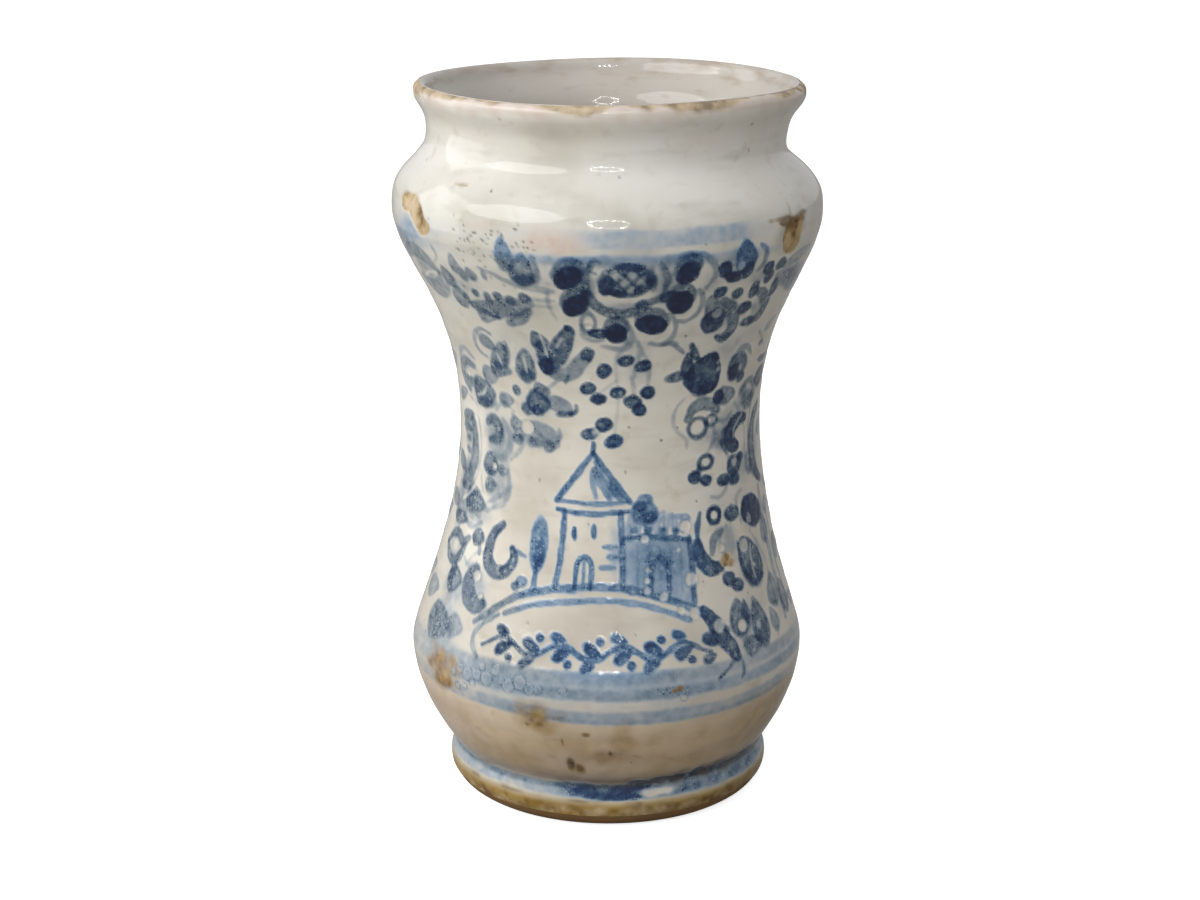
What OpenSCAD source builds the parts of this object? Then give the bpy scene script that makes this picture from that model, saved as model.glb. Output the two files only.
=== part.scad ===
// Albarello: a waisted drug jar, thrown in red-buff earthenware, turned at the foot,
// coated inside and out with white tin glaze and banded with cobalt blue.
// The jar stands on its foot ring at z = 0, and its axis is Z. All lengths are millimetres.

/* [Foot] */
// Radius of the edge that the jar stands on
standing_radius = 44; // [40:0.5:48]
// Radius at the widest point of the foot
foot_radius = 50.4; // [48.5:0.1:56]
// Height of the widest point of the foot
foot_rise = 7.5; // [6:0.5:12]
// Radius of the groove turned between the foot and the belly
groove_radius = 48.6; // [44:0.1:50]
// Rise from the widest point of the foot to the groove
groove_rise = 6.5; // [6:0.5:12]
// Width of the ring of clay that touches the table
foot_ring_width = 9; // [5:0.5:16]
// Depth of the hollow turned under the foot
hollow_depth = 3; // [1:0.5:6]

/* [Belly] */
// Radius at the widest point of the belly
belly_radius = 61.4; // [55:0.2:70]
// Rise from the groove to the widest point of the belly
belly_rise = 32.5; // [28:0.5:45]

/* [Waist] */
// Radius at the narrowest point of the waist
waist_radius = 46.3; // [38:0.1:54]
// Rise from the belly to the narrowest point of the waist
waist_rise = 72; // [50:0.5:110]

/* [Shoulder] */
// Radius at the widest point of the shoulder
shoulder_radius = 65.2; // [58:0.2:76]
// Rise from the waist to the widest point of the shoulder
shoulder_rise = 65; // [45:0.5:100]

/* [Neck and lip] */
// Radius at the narrowest point of the neck
neck_radius = 54; // [46:0.2:58]
// Rise from the shoulder to the narrowest point of the neck
neck_rise = 20; // [14:0.5:32]
// Radius at the widest point of the lip
lip_radius = 59; // [55:0.2:66]
// Rise from the neck to the widest point of the lip
lip_rise = 14; // [10:0.5:24]
// Radius of the rounding of the lip, half of its thickness
lip_round = 2.5; // [1.8:0.1:3.2]

/* [Wall] */
// Thickness of the finished wall, glaze included
wall = 6.5; // [5:0.1:8]
// Thickness of the finished floor above the hollow under the foot
floor_thickness = 11; // [7:0.5:14]
// Radius of the flat middle of the floor, inside
floor_flat_radius = 20; // [10:1:26]

/* [Glaze] */
// Thickness of the white tin glaze
glaze = 0.6; // [0.4:0.05:1]
// Depth to which the painted cobalt sinks into the glaze
paint_depth = 0.35; // [0.25:0.05:0.4]
// Gap behind the painted cobalt, between it and the glaze that it lies in
paint_clearance = 0.15; // [0.05:0.01:0.2]
// Height at which the glaze stops and the bare clay of the foot begins
glaze_line = 4.5; // [2:0.25:5.5]

/* [Cobalt bands] */
// Width of the broad band on the shoulder
shoulder_broad_width = 6; // [3:0.5:9]
// Width of the fine line under the broad band on the shoulder
shoulder_fine_width = 2.5; // [1:0.5:4]
// Clear glaze between the two lines on the shoulder
shoulder_band_gap = 2.5; // [1:0.5:5]
// Distance from the widest point of the shoulder up to the top of the broad band
shoulder_band_offset = 3.5; // [-4:0.5:6]
// Width of the upper wash on the belly
belly_upper_width = 3.5; // [2:0.5:6]
// Width of the middle wash on the belly
belly_middle_width = 3; // [2:0.5:6]
// Width of the lowest line on the belly
belly_lower_width = 4; // [2:0.5:6]
// Clear glaze between the lines on the belly
belly_band_gap = 1.5; // [1:0.5:4]
// Distance from the widest point of the belly up to the top of the upper wash
belly_band_offset = 7.5; // [0:0.5:12]
// Width of the band on the foot, below the groove
foot_band_width = 4.5; // [2:0.5:5]

/* [Curves] */
// How long the foot runs upright above its widest point, as a share of the rise to the groove
foot_over_fullness = 0.5; // [0.1:0.01:0.7]
// How long the groove runs upright below its narrowest point
groove_under_fullness = 0.2; // [0.05:0.01:0.45]
// How long the wall runs straight up from the groove, as a share of the rise to the belly
groove_fullness = 0.03; // [0.02:0.01:0.4]
// How long the underside of the belly runs upright below its widest point
belly_under_fullness = 0.53; // [0.1:0.01:0.6]
// How long the wall runs upright above the widest point of the belly
belly_over_fullness = 0.1; // [0.05:0.01:0.5]
// How long the waist runs upright below its narrowest point
waist_under_fullness = 0.48; // [0.1:0.01:0.6]
// How long the waist runs upright above its narrowest point
waist_over_fullness = 0.56; // [0.1:0.01:0.6]
// How long the shoulder runs upright below its widest point
shoulder_under_fullness = 0.25; // [0.05:0.01:0.4]
// How long the shoulder runs upright above its widest point
shoulder_over_fullness = 0.66; // [0.1:0.01:0.66]
// How long the neck runs upright below its narrowest point
neck_under_fullness = 0.34; // [0.1:0.01:0.34]
// How long the neck runs upright above its narrowest point
neck_over_fullness = 0.68; // [0.1:0.01:0.69]
// How long the lip runs upright below its widest point
lip_under_fullness = 0.3; // [0.05:0.01:0.3]

/* [Hidden] */
$fn = 96;

// Steps along each curve of the wall, and along each rounded edge
wall_steps = 14;
edge_steps = 8;
// How far a cutting shape runs past the surface that it cuts
overcut = 1;

clay_colour = "#b98a5c";
white_colour = "#e6dfd2";
wash_colour = "#8fa5c0";
cobalt_colour = "#4d6a98";

// Heights of the stations, worked out from the rises
groove_z = foot_rise + groove_rise;
belly_z = groove_z + belly_rise;
waist_z = belly_z + waist_rise;
shoulder_z = waist_z + shoulder_rise;
neck_z = shoulder_z + neck_rise;
lip_z = neck_z + lip_rise;
floor_z = hollow_depth + floor_thickness;
// Thickness of the painted cobalt
paint = paint_depth - paint_clearance;
// A radius outside everything on the jar
clear_radius = max(foot_radius, belly_radius, shoulder_radius, lip_radius) + 2 * overcut;

// Tops of the painted bands
shoulder_broad_top = shoulder_z + shoulder_band_offset;
shoulder_fine_top = shoulder_broad_top - shoulder_broad_width - shoulder_band_gap;
belly_upper_top = belly_z + belly_band_offset;
belly_middle_top = belly_upper_top - belly_upper_width - belly_band_gap;
belly_lower_top = belly_middle_top - belly_middle_width - belly_band_gap;

// One stretch of wall between two stations [radius, height], upright at both of its ends
function stretch(low, high, low_fullness, high_fullness) =
    let (rise = high[1] - low[1])
    [for (i = [0 : wall_steps])
        let (t = i / wall_steps, s = 1 - t)
        [
            s * s * (s + 3 * t) * low[0] + t * t * (t + 3 * s) * high[0],
            low[1] + rise * (3 * s * s * t * low_fullness + 3 * s * t * t * (1 - high_fullness) + t * t * t)
        ]];

function joined(lists) = [for (list = lists) each list];
function reversed(list) = [for (i = [len(list) - 1 : -1 : 0]) list[i]];
function inward(points, depth) = [for (p = points) [p[0] - depth, p[1]]];

// The outside of the foot, from the angle where it starts up to its widest point
function foot_curve(start_angle = 0) =
    [for (i = [0 : edge_steps])
        let (a = start_angle + (90 - start_angle) * i / edge_steps)
        [standing_radius + (foot_radius - standing_radius) * sin(a), foot_rise * (1 - cos(a))]];

// The outside of the wall, from the widest point of the foot up to the lip
function outside() = joined([
    stretch([foot_radius, foot_rise], [groove_radius, groove_z],
        foot_over_fullness, groove_under_fullness),
    stretch([groove_radius, groove_z], [belly_radius, belly_z], groove_fullness, belly_under_fullness),
    stretch([belly_radius, belly_z], [waist_radius, waist_z], belly_over_fullness, waist_under_fullness),
    stretch([waist_radius, waist_z], [shoulder_radius, shoulder_z],
        waist_over_fullness, shoulder_under_fullness),
    stretch([shoulder_radius, shoulder_z], [neck_radius, neck_z],
        shoulder_over_fullness, neck_under_fullness),
    stretch([neck_radius, neck_z], [lip_radius, lip_z], neck_over_fullness, lip_under_fullness)
]);

// The inside of the wall, from the widest point of the belly up to the lip
function inside() = joined([
    stretch([belly_radius - wall, belly_z], [waist_radius - wall, waist_z],
        belly_over_fullness, waist_under_fullness),
    stretch([waist_radius - wall, waist_z], [shoulder_radius - wall, shoulder_z],
        waist_over_fullness, shoulder_under_fullness),
    stretch([shoulder_radius - wall, shoulder_z], [neck_radius - wall, neck_z],
        shoulder_over_fullness, neck_under_fullness),
    stretch([neck_radius - wall, neck_z], [lip_radius - 2 * lip_round, lip_z],
        neck_over_fullness, lip_under_fullness)
]);

// The rounded lip at a depth below its surface, from one angle to another
function lip_curve(depth, from_angle, to_angle) =
    [for (i = [0 : edge_steps])
        let (a = from_angle + (to_angle - from_angle) * i / edge_steps)
        [lip_radius - lip_round, lip_z] + (lip_round - depth) * [cos(a), sin(a)]];

// The inside corner of the floor at a depth below its surface, from the belly down to the flat middle
function floor_curve(depth) =
    [for (i = [0 : wall_steps])
        let (a = 90 * i / wall_steps, corner = belly_radius - wall - floor_flat_radius)
        [floor_flat_radius + corner * cos(a) + depth * cos(a),
            belly_z - (belly_z - floor_z + depth) * sin(a)]];

// Everything that shows on the outside of the glaze coat, at a depth below its surface
function coat_outside(depth) = joined([
    inward(foot_curve(acos(1 - glaze_line / foot_rise)), depth),
    inward(outside(), depth),
    lip_curve(depth, 0, 90)
]);

// Everything that shows on the inside of the glaze coat, at a depth below its surface
function coat_inside(depth) = joined([
    lip_curve(depth, 90, 180),
    reversed(inward(inside(), -depth)),
    floor_curve(depth),
    [[0, floor_z - depth]]
]);

// A ring-shaped slice of the wall down to a depth, from its top down by its width
module painted_layer(top, width, depth) {
    intersection() {
        polygon(joined([inward(outside(), -overcut), reversed(inward(outside(), depth))]));
        translate([0, top - width]) square([clear_radius, width]);
    }
}

module shoulder_layers(depth) {
    painted_layer(shoulder_broad_top, shoulder_broad_width, depth);
    painted_layer(shoulder_fine_top, shoulder_fine_width, depth);
}

module belly_layers(depth) {
    painted_layer(belly_upper_top, belly_upper_width, depth);
    painted_layer(belly_middle_top, belly_middle_width, depth);
    painted_layer(belly_lower_top, belly_lower_width, depth);
}

module foot_layer(depth) {
    painted_layer(groove_z, foot_band_width, depth);
}

module outer_coat_section() {
    polygon(joined([coat_outside(0), reversed(coat_outside(glaze))]));
}

// The fired clay: foot ring, floor, wall, neck and lip, thrown in one piece
module clay_body() {
    ring_inner_radius = standing_radius - foot_ring_width;
    color(clay_colour)
        rotate_extrude()
            polygon(joined([
                [[0, hollow_depth], [ring_inner_radius - hollow_depth, hollow_depth], [ring_inner_radius, 0]],
                inward(foot_curve(), glaze),
                inward(outside(), glaze),
                lip_curve(glaze, 0, 180),
                reversed(inward(inside(), -glaze)),
                floor_curve(glaze),
                [[0, floor_z - glaze]]
            ]));
}

// The white coat on the outside, from the crest of the lip down to the glaze line
module outer_glaze() {
    color(white_colour)
        rotate_extrude()
            difference() {
                outer_coat_section();
                shoulder_layers(paint_depth);
                belly_layers(paint_depth);
                foot_layer(paint_depth);
            }
}

// The white lining, from the crest of the lip down over the floor
module inner_glaze() {
    color(white_colour)
        rotate_extrude()
            polygon(joined([coat_inside(0), reversed(coat_inside(glaze))]));
}

module shoulder_bands() {
    color(wash_colour)
        rotate_extrude()
            intersection() {
                outer_coat_section();
                shoulder_layers(paint);
            }
}

module belly_bands() {
    color(wash_colour)
        rotate_extrude()
            intersection() {
                outer_coat_section();
                belly_layers(paint);
            }
}

module foot_band() {
    color(cobalt_colour)
        rotate_extrude()
            intersection() {
                outer_coat_section();
                foot_layer(paint);
            }
}

clay_body();
outer_glaze();
inner_glaze();
shoulder_bands();
belly_bands();
foot_band();
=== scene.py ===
import math

import bpy
import numpy as np
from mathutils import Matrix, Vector, noise


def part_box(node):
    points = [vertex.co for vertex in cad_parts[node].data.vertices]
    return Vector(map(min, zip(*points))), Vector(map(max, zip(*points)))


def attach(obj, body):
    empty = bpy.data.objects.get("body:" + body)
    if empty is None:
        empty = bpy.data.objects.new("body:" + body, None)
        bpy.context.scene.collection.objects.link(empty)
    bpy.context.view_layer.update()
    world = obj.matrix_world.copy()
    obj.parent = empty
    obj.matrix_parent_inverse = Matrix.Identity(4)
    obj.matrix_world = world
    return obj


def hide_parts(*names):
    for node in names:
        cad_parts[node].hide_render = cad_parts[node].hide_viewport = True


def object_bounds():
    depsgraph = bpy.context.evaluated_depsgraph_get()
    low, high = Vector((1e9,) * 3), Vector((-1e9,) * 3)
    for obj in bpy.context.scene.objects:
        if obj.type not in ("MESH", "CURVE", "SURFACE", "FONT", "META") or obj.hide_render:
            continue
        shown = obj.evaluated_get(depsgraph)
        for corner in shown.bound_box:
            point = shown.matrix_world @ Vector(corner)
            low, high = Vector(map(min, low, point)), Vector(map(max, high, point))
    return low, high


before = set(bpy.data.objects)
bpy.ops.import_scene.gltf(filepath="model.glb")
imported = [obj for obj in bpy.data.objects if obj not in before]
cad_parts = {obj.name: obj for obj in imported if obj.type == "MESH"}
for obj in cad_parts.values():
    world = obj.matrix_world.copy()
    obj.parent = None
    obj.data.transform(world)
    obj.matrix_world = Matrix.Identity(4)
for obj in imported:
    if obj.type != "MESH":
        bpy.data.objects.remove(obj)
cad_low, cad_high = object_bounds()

# Clay body: the jar itself, thrown in buff earthenware and turned at the foot, with a shallow hollow
# underneath. It lies a coat of glaze inside the jar's surface, and shows bare only at the foot.
# Gaps and heights are in mm, LEAN is (height, shift to the right), and the oval and the rings are shares.
MM = 0.001
COLUMNS = 720
PROBE_TURN = math.radians(1.3)
PROBE_GAP = 0.4
HIDDEN_GAP = 5.0
TIGHT_GAP = 1.2
INNER_GAP = 2.4
WELD = 0.001 * MM
SHARP_EDGE = math.radians(60)
LEAN = [
    (0, 0), (20, -0.3), (45, -0.6), (75, -0.1), (90, 0.4), (100, 0.5), (160, 0.3), (188, -0.6), (200, -1.6),
    (206, -0.6), (214, 0.2), (220, 0.1),
]
OVALNESS = 0.003
RING_DEPTH = 0.0006
RING_RADIAN = 1.35  # height to one radian of the throwing rings' wave
LIP_SEARCH = 8
LIP_CREST = 9
EASED_ROWS = 6
NECK_EASED_ROWS = 14
NECK_TURN = [187, 193, 205, 210]
BELLY_SEARCH = 80
UNDER_REACH = 43.3
GROOVE_TOP = 14
SHOULDER_HIDDEN = 180


def meets(node, start, aim):
    """The (radius, height) in mm where a line from start towards aim, both (radius, height), meets a node."""
    flat = np.array([start, aim]) * MM
    begin, end = (Vector((r * math.cos(PROBE_TURN), r * math.sin(PROBE_TURN), z)) for r, z in flat)
    hit, place, _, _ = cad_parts[node].ray_cast(begin, (end - begin).normalized())
    if not hit:
        raise ValueError(f"{node} isn't met from {start} towards {aim}")
    return math.hypot(place.x, place.y) / MM, place.z / MM


def eased(points, reach):
    """A curve of (radius, height) with the flats between its steps rounded off and its ends kept."""
    weights = np.exp(-np.linspace(-2, 2, 2 * reach + 1) ** 2)
    weights /= weights.sum()
    padded = np.pad(points, ((reach, reach), (0, 0)), mode="reflect", reflect_type="odd")
    return np.stack([np.convolve(padded[:, k], weights, "valid") for k in (0, 1)], 1)


def spaced(points, gap):
    """The same curve with its points an even gap apart."""
    along = np.concatenate([[0], np.cumsum(np.hypot(*np.diff(points, axis=0).T))])
    even = np.linspace(0, along[-1], max(2, round(along[-1] / gap) + 1))
    return np.stack([np.interp(even, along, points[:, k]) for k in (0, 1)], 1)


def offset(points, depth):
    """A curve moved to its right by a depth, which is outwards on a wall that is followed upwards."""
    along = np.gradient(points, axis=0)
    along /= np.hypot(*along.T)[:, None]
    return points + depth * np.stack([along[:, 1], -along[:, 0]], 1)


def between(points, low, high):
    """The stretch of a rising curve between two heights."""
    inner = points[(points[:, 1] > low + 1e-6) & (points[:, 1] < high - 1e-6)]
    ends = [[np.interp(z, points[:, 1], points[:, 0]), z] for z in (low, high)]
    return np.concatenate([ends[:1], inner, ends[1:]])


def lathe(name, section, columns):
    """A turned piece: a circle is bent to the section's (radius, height) in mm and swept about the axis."""
    bpy.ops.object.select_all(action="DESELECT")
    bpy.ops.mesh.primitive_circle_add(vertices=len(section), fill_type="NOTHING", calc_uvs=False)
    piece = bpy.context.object
    piece.name = piece.data.name = name
    corners = np.stack([section[:, 0], np.zeros(len(section)), section[:, 1]], 1) * MM
    piece.data.vertices.foreach_set("co", corners.ravel())
    rows = piece.data.attributes.new("row", "INT", "POINT")
    rows.data.foreach_set("value", np.arange(len(section)))
    bpy.ops.object.modifier_add(type="SCREW")
    sweep = piece.modifiers[-1]
    sweep.axis = "Z"
    sweep.angle = 2 * math.pi
    sweep.steps = sweep.render_steps = columns
    sweep.use_merge_vertices = True
    sweep.merge_threshold = WELD
    bpy.ops.object.modifier_apply(modifier=sweep.name)
    bpy.ops.object.mode_set(mode="EDIT")
    bpy.ops.mesh.select_all(action="SELECT")
    bpy.ops.mesh.remove_doubles(threshold=WELD)
    bpy.ops.mesh.normals_make_consistent(inside=False)
    bpy.ops.object.mode_set(mode="OBJECT")
    bpy.ops.object.shade_smooth_by_angle(angle=SHARP_EDGE)
    return piece


def points_of(piece):
    """A piece's vertices in mm, and each one's row in its section."""
    places = np.zeros(len(piece.data.vertices) * 3)
    piece.data.vertices.foreach_get("co", places)
    rows = np.zeros(len(piece.data.vertices), int)
    piece.data.attributes["row"].data.foreach_get("value", rows)
    return places.reshape(-1, 3) / MM, rows


def thrown(places):
    """Points in mm as the potter's hands left them: a little off the axis, oval and ringed."""
    x, y, z = places.T
    turn = np.arctan2(x, -y)
    lean = np.interp(z, *zip(*LEAN))
    squash = 1 + OVALNESS * np.cos(2 * turn - 0.9) * np.interp(z, [0, 20, 220], [0, 0.6, 1])
    ringed = np.interp(z, [5, 20, 205, 215], [0, 1, 1, 0])
    rings = 1 + RING_DEPTH * np.sin(z / RING_RADIAN + 0.7 * np.sin(turn)) * ringed
    sag = 0.15 + 0.3 * np.sin(3 * turn - 0.4)
    rise = sag * np.interp(z, [185, 220], [0, 1]) - 0.8 * np.exp(-((z - 201) / 6) ** 2)
    return np.stack([x * squash * rings + lean, y * squash * rings, z + rise], 1)


def place_points(piece, places):
    """Moves a piece's vertices to places in mm, and drops the row numbers that led there."""
    piece.data.vertices.foreach_set("co", (places * MM).ravel())
    piece.data.attributes.remove(piece.data.attributes["row"])
    piece.data.update()


top = cad_high.z / MM
far = 2 * cad_high.x / MM
clay_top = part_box("clay_body")[1].z / MM
heights = np.arange(PROBE_GAP, clay_top - PROBE_GAP, PROBE_GAP)
clay_outside = np.array([meets("clay_body", (far, z), (0, z)) for z in heights])
lip_rows = heights > clay_top - LIP_SEARCH
lip_height = heights[lip_rows][np.argmax(clay_outside[lip_rows, 0])]
lip_outer = meets("clay_body", (far, lip_height), (0, lip_height))[0]
lip_inner = meets("clay_body", (0, lip_height), (far, lip_height))[0]
lip_middle = np.array([(lip_outer + lip_inner) / 2, lip_height])
lip_turns = np.radians(np.arange(0, 181, 10))
clay_lip = np.array([meets("clay_body", lip_middle, lip_middle + (math.cos(a), math.sin(a)))
                     for a in lip_turns])
clay_outside = eased(clay_outside[heights < lip_height], EASED_ROWS)
at_neck = np.interp(clay_outside[:, 1], NECK_TURN, [0, 1, 1, 0])[:, None]
clay_outside = clay_outside * (1 - at_neck) + eased(clay_outside, NECK_EASED_ROWS) * at_neck
below_waist = heights[:len(clay_outside)] < BELLY_SEARCH
belly_height = clay_outside[below_waist][:, 0].argmax() * PROBE_GAP + PROBE_GAP
clay_inside = np.array([meets("clay_body", (0, z), (far, z))
                        for z in np.arange(lip_height, belly_height, -PROBE_GAP)])
floor_turns = np.radians(np.linspace(0, 90, 120))
clay_floor = np.array([meets("clay_body", (0, belly_height), (math.cos(a), belly_height - math.sin(a)))
                       for a in floor_turns])
clay_inner = eased(np.concatenate([clay_inside, clay_floor]), EASED_ROWS)
clay_under = np.array([meets("clay_body", (r, -far), (r, 0)) for r in np.arange(0.5, UNDER_REACH, 1.0)])
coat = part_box("outer_glaze")[1].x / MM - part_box("clay_body")[1].x / MM
lip_round = np.hypot(*(clay_lip[0] - lip_middle))
coated_lip = lip_middle + (clay_lip - lip_middle) * (1 + coat / lip_round)

clay_section = np.concatenate([
    [[0, clay_under[0, 1]]],
    clay_under,
    spaced(between(clay_outside, PROBE_GAP, GROOVE_TOP), 0.8),
    spaced(between(clay_outside, GROOVE_TOP + 1, SHOULDER_HIDDEN), HIDDEN_GAP),
    spaced(between(clay_outside, SHOULDER_HIDDEN + 1, lip_height - 1), TIGHT_GAP),
    clay_lip,
    spaced(clay_inner, INNER_GAP),
])
clay_section[-1, 0] = 0
clay_pot = lathe("clay_pot", clay_section, COLUMNS // 2)
place_points(clay_pot, thrown(points_of(clay_pot)[0]))


def linear(code):
    """An sRGB hex colour as linear red, green, blue and alpha."""
    parts = [int(code[i:i + 2], 16) / 255 for i in (1, 3, 5)]
    return [c / 12.92 if c < 0.04045 else ((c + 0.055) / 1.055) ** 2.4 for c in parts] + [1.0]


def add_node(tree, kind, links=None, stops=None, **settings):
    """Adds a node with its settings, its ramp's stops, and its inputs set to values or linked from nodes.

    An input goes by its name or, on Math and Mix nodes, its number: a colour Mix has its share at 0 and its
    two colours at 6 and 7.
    """
    made = tree.nodes.new("ShaderNode" + kind)
    for name, value in settings.items():
        setattr(made, name, value)
    if stops:
        for place, _ in stops[2:]:
            made.color_ramp.elements.new(place)
        for element, (place, code) in zip(made.color_ramp.elements, stops):
            element.position = place
            element.color = linear(code)
    for name, value in (links or {}).items():
        if isinstance(value, bpy.types.Node):
            value = next(output for output in value.outputs if output.enabled)
        if isinstance(value, bpy.types.NodeSocket):
            tree.links.new(value, made.inputs[name])
        else:
            made.inputs[name].default_value = value
    return made


def new_material(name):
    """A material with no nodes, and its tree."""
    made = bpy.data.materials.new(name)
    made.use_nodes = True
    made.node_tree.nodes.clear()
    return made, made.node_tree


# Bare earthenware, fired to a buff brown: matt, gritty, blotched where the fire and old dirt reached it.
earthenware, tree = new_material("fired_earthenware")
spots = add_node(tree, "TexCoord").outputs["Object"]
grit = add_node(tree, "TexNoise", {"Vector": spots, "Scale": 1 / (0.9 * MM), "Detail": 6.0})
blotch = add_node(tree, "TexNoise", {"Vector": spots, "Scale": 1 / (14 * MM), "Detail": 4.0})
buff = add_node(tree, "Mix", {0: blotch, 6: linear("#5E4226"), 7: linear("#9C7644")}, data_type="RGBA")
gritty = add_node(tree, "Mix", {0: grit, 6: buff, 7: linear("#785A36")}, data_type="RGBA")
rough = add_node(tree, "Bump", {"Height": grit, "Strength": 0.5, "Distance": 0.3 * MM})
clay_shader = add_node(tree, "BsdfPrincipled", {
    "Base Color": gritty, "Roughness": 0.85, "Normal": rough})
add_node(tree, "OutputMaterial", {"Surface": clay_shader})
clay_pot.data.materials.append(earthenware)
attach(clay_pot, "root")
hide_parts("clay_body")

# Outer glaze: an opaque white tin glaze that the jar was dipped in, fired on the clay as one skin from the
# crest of the lip to the foot. It is made in zones, each a closed ring, with the painted bands as their own.
ROW_GAP = 0.56
WIDE_ROW_GAP = 0.6
PLAIN_GAP = 0.75
WAIST_ROWS = 250
SHEET_WIDE = 0.99
HIDDEN_LOW, HIDDEN_TALL = 0.005, 0.05
FACE_LOW, FACE_STEP, FACE_TALL = 0.065, 0.465, 0.455
glaze_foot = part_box("outer_glaze")[0].z / MM
shoulder_low, shoulder_high = (corner.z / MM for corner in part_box("shoulder_bands"))
belly_low, belly_high = (corner.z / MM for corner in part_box("belly_bands"))
band_low, band_high = (corner.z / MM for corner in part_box("foot_band"))
above_belly = clay_outside[clay_outside[:, 1] > belly_high]
waist_height = above_belly[:WAIST_ROWS, 0].argmin() * PROBE_GAP + belly_high
glaze_outside = np.concatenate([offset(clay_outside, coat)[:-2], coated_lip[:LIP_CREST + 1]])
glaze_outside = eased(glaze_outside, 3)
crest = glaze_outside[-1]


def unrolled(piece, seen_rows):
    """The piece's map for baking: its face unrolled, front half over back half, and its hidden side below."""
    places, rows = points_of(piece)
    corners = np.zeros(len(piece.data.loops), int)
    piece.data.loops.foreach_get("vertex_index", corners)
    turns = np.degrees(np.arctan2(places[:, 0], -places[:, 1]))[corners].reshape(-1, 4)
    middles = places[corners].reshape(-1, 4, 3).mean(1)
    rows = rows[corners].reshape(-1, 4)
    hidden = (rows >= seen_rows).any(1)[:, None]
    behind = (middles[:, 1] > 0)[:, None]
    half = (turns - 180 * behind + 180) % 360 - 180
    last = rows.max() + 1
    far_side = hidden & (rows.max(1) - rows.min(1) > 1)[:, None]
    depth = (np.where(far_side & (rows == 0), last, rows) - seen_rows + 1) / (last - seen_rows + 1)
    rise = rows / (seen_rows - 1)
    across = 0.5 + SHEET_WIDE * half / 180
    across = np.where(hidden, across / 2 + 0.5 * behind, across)
    face_up = FACE_LOW + FACE_STEP * (1 - behind) + FACE_TALL * rise
    up = np.where(hidden, HIDDEN_LOW + HIDDEN_TALL * depth, face_up)
    sheet = piece.data.uv_layers.new(name="OFBake")
    sheet.data.foreach_set("uv", np.stack([across, up], -1).ravel())


ZONES = [
    ("foot_glaze", glaze_foot, band_low, PLAIN_GAP, "outer_glaze", "tin_glaze"),
    ("foot_band_glaze", band_low, band_high, ROW_GAP, "foot_band", "cobalt_dark"),
    ("base_glaze", band_high, belly_low, PLAIN_GAP, "outer_glaze", "tin_glaze"),
    ("belly_band_glaze", belly_low, belly_high, ROW_GAP, "belly_bands", "cobalt_wash"),
    ("lower_glaze", belly_high, waist_height, WIDE_ROW_GAP, "outer_glaze", "tin_glaze"),
    ("upper_glaze", waist_height, shoulder_low, ROW_GAP, "outer_glaze", "tin_glaze"),
    ("shoulder_band_glaze", shoulder_low, shoulder_high, ROW_GAP, "shoulder_bands", "cobalt_wash"),
    ("neck_glaze", shoulder_high, crest[1], PLAIN_GAP, "outer_glaze", "tin_glaze"),
]
zones = []
for name, low, high, gap, node, slot in ZONES:
    skin = spaced(between(glaze_outside, low, high), gap)
    back = spaced(offset(skin, -coat), HIDDEN_GAP if gap < PLAIN_GAP else TIGHT_GAP)[::-1]
    piece = lathe(name, np.concatenate([skin, back]), COLUMNS)
    unrolled(piece, len(skin))
    places, rows = points_of(piece)
    ahead = offset(skin, 1) - skin
    zones.append((piece, places, rows < len(skin), ahead[np.minimum(rows, len(skin) - 1)]))
    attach(piece, "root")
    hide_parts(node)

# Cobalt painting: a garland of leaves, petals and berries brushed on the raw glaze and fired into it, with
# banded borders above and below. Each touch of the brush is a dab or a stroke at (degrees, height in mm).
places = np.concatenate([zone[1] for zone in zones])
angle = np.degrees(np.arctan2(places[:, 0], -places[:, 1]))
height = places[:, 2]
radius = np.hypot(places[:, 0], places[:, 1])
cobalt = np.zeros(len(places))
azure = np.zeros(len(places))
WIDEST = 66


def clouds(size, shift):
    """Smooth noise from -1 to 1 over the surface, in patches of about a size in mm."""
    return np.array([noise.noise(p) for p in places / size + shift])


def soft(distance, edge=0.4):
    """1 inside a shape and 0 outside it, from the distance to its outline in mm."""
    t = np.clip(0.5 - distance / (2 * edge), 0, 1)
    return t * t * (3 - 2 * t)


def turned(at):
    """The turn in degrees from a place round the jar to each vertex, from -180 to 180."""
    return (angle - at + 180) % 360 - 180


def reach(at, up, wide, tall):
    """The vertices near a place, and how far in mm each lies to its right and above it."""
    across = np.radians(turned(at)) * radius
    found = np.nonzero((np.abs(across) < wide) & (np.abs(height - up) < tall))[0]
    return found, across[found], height[found] - up


waver = clouds(2.9, 3.1)
mottle = clouds(1.5, 40.3)
drift = clouds(11, 71.9)


def lay(found, fresh):
    """Adds cobalt to what lies there already."""
    cobalt[found] = 1 - (1 - cobalt[found]) * (1 - np.clip(fresh, 0, 1))


def paint(found, distance, half, tone, light):
    """Lays cobalt of a tone, paler by light in the middle of the shape, where pigment pools less."""
    uneven = distance + 0.32 * waver[found] + 0.2 * mottle[found]
    depth = np.clip(-uneven / half, 0, 1)
    fresh = tone * (1 - light * depth) * (1 + 0.2 * mottle[found] + 0.15 * waver[found])
    lay(found, np.clip(fresh, 0, 1) * soft(uneven, 0.75 - 0.4 * np.mean(tone)))


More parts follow.
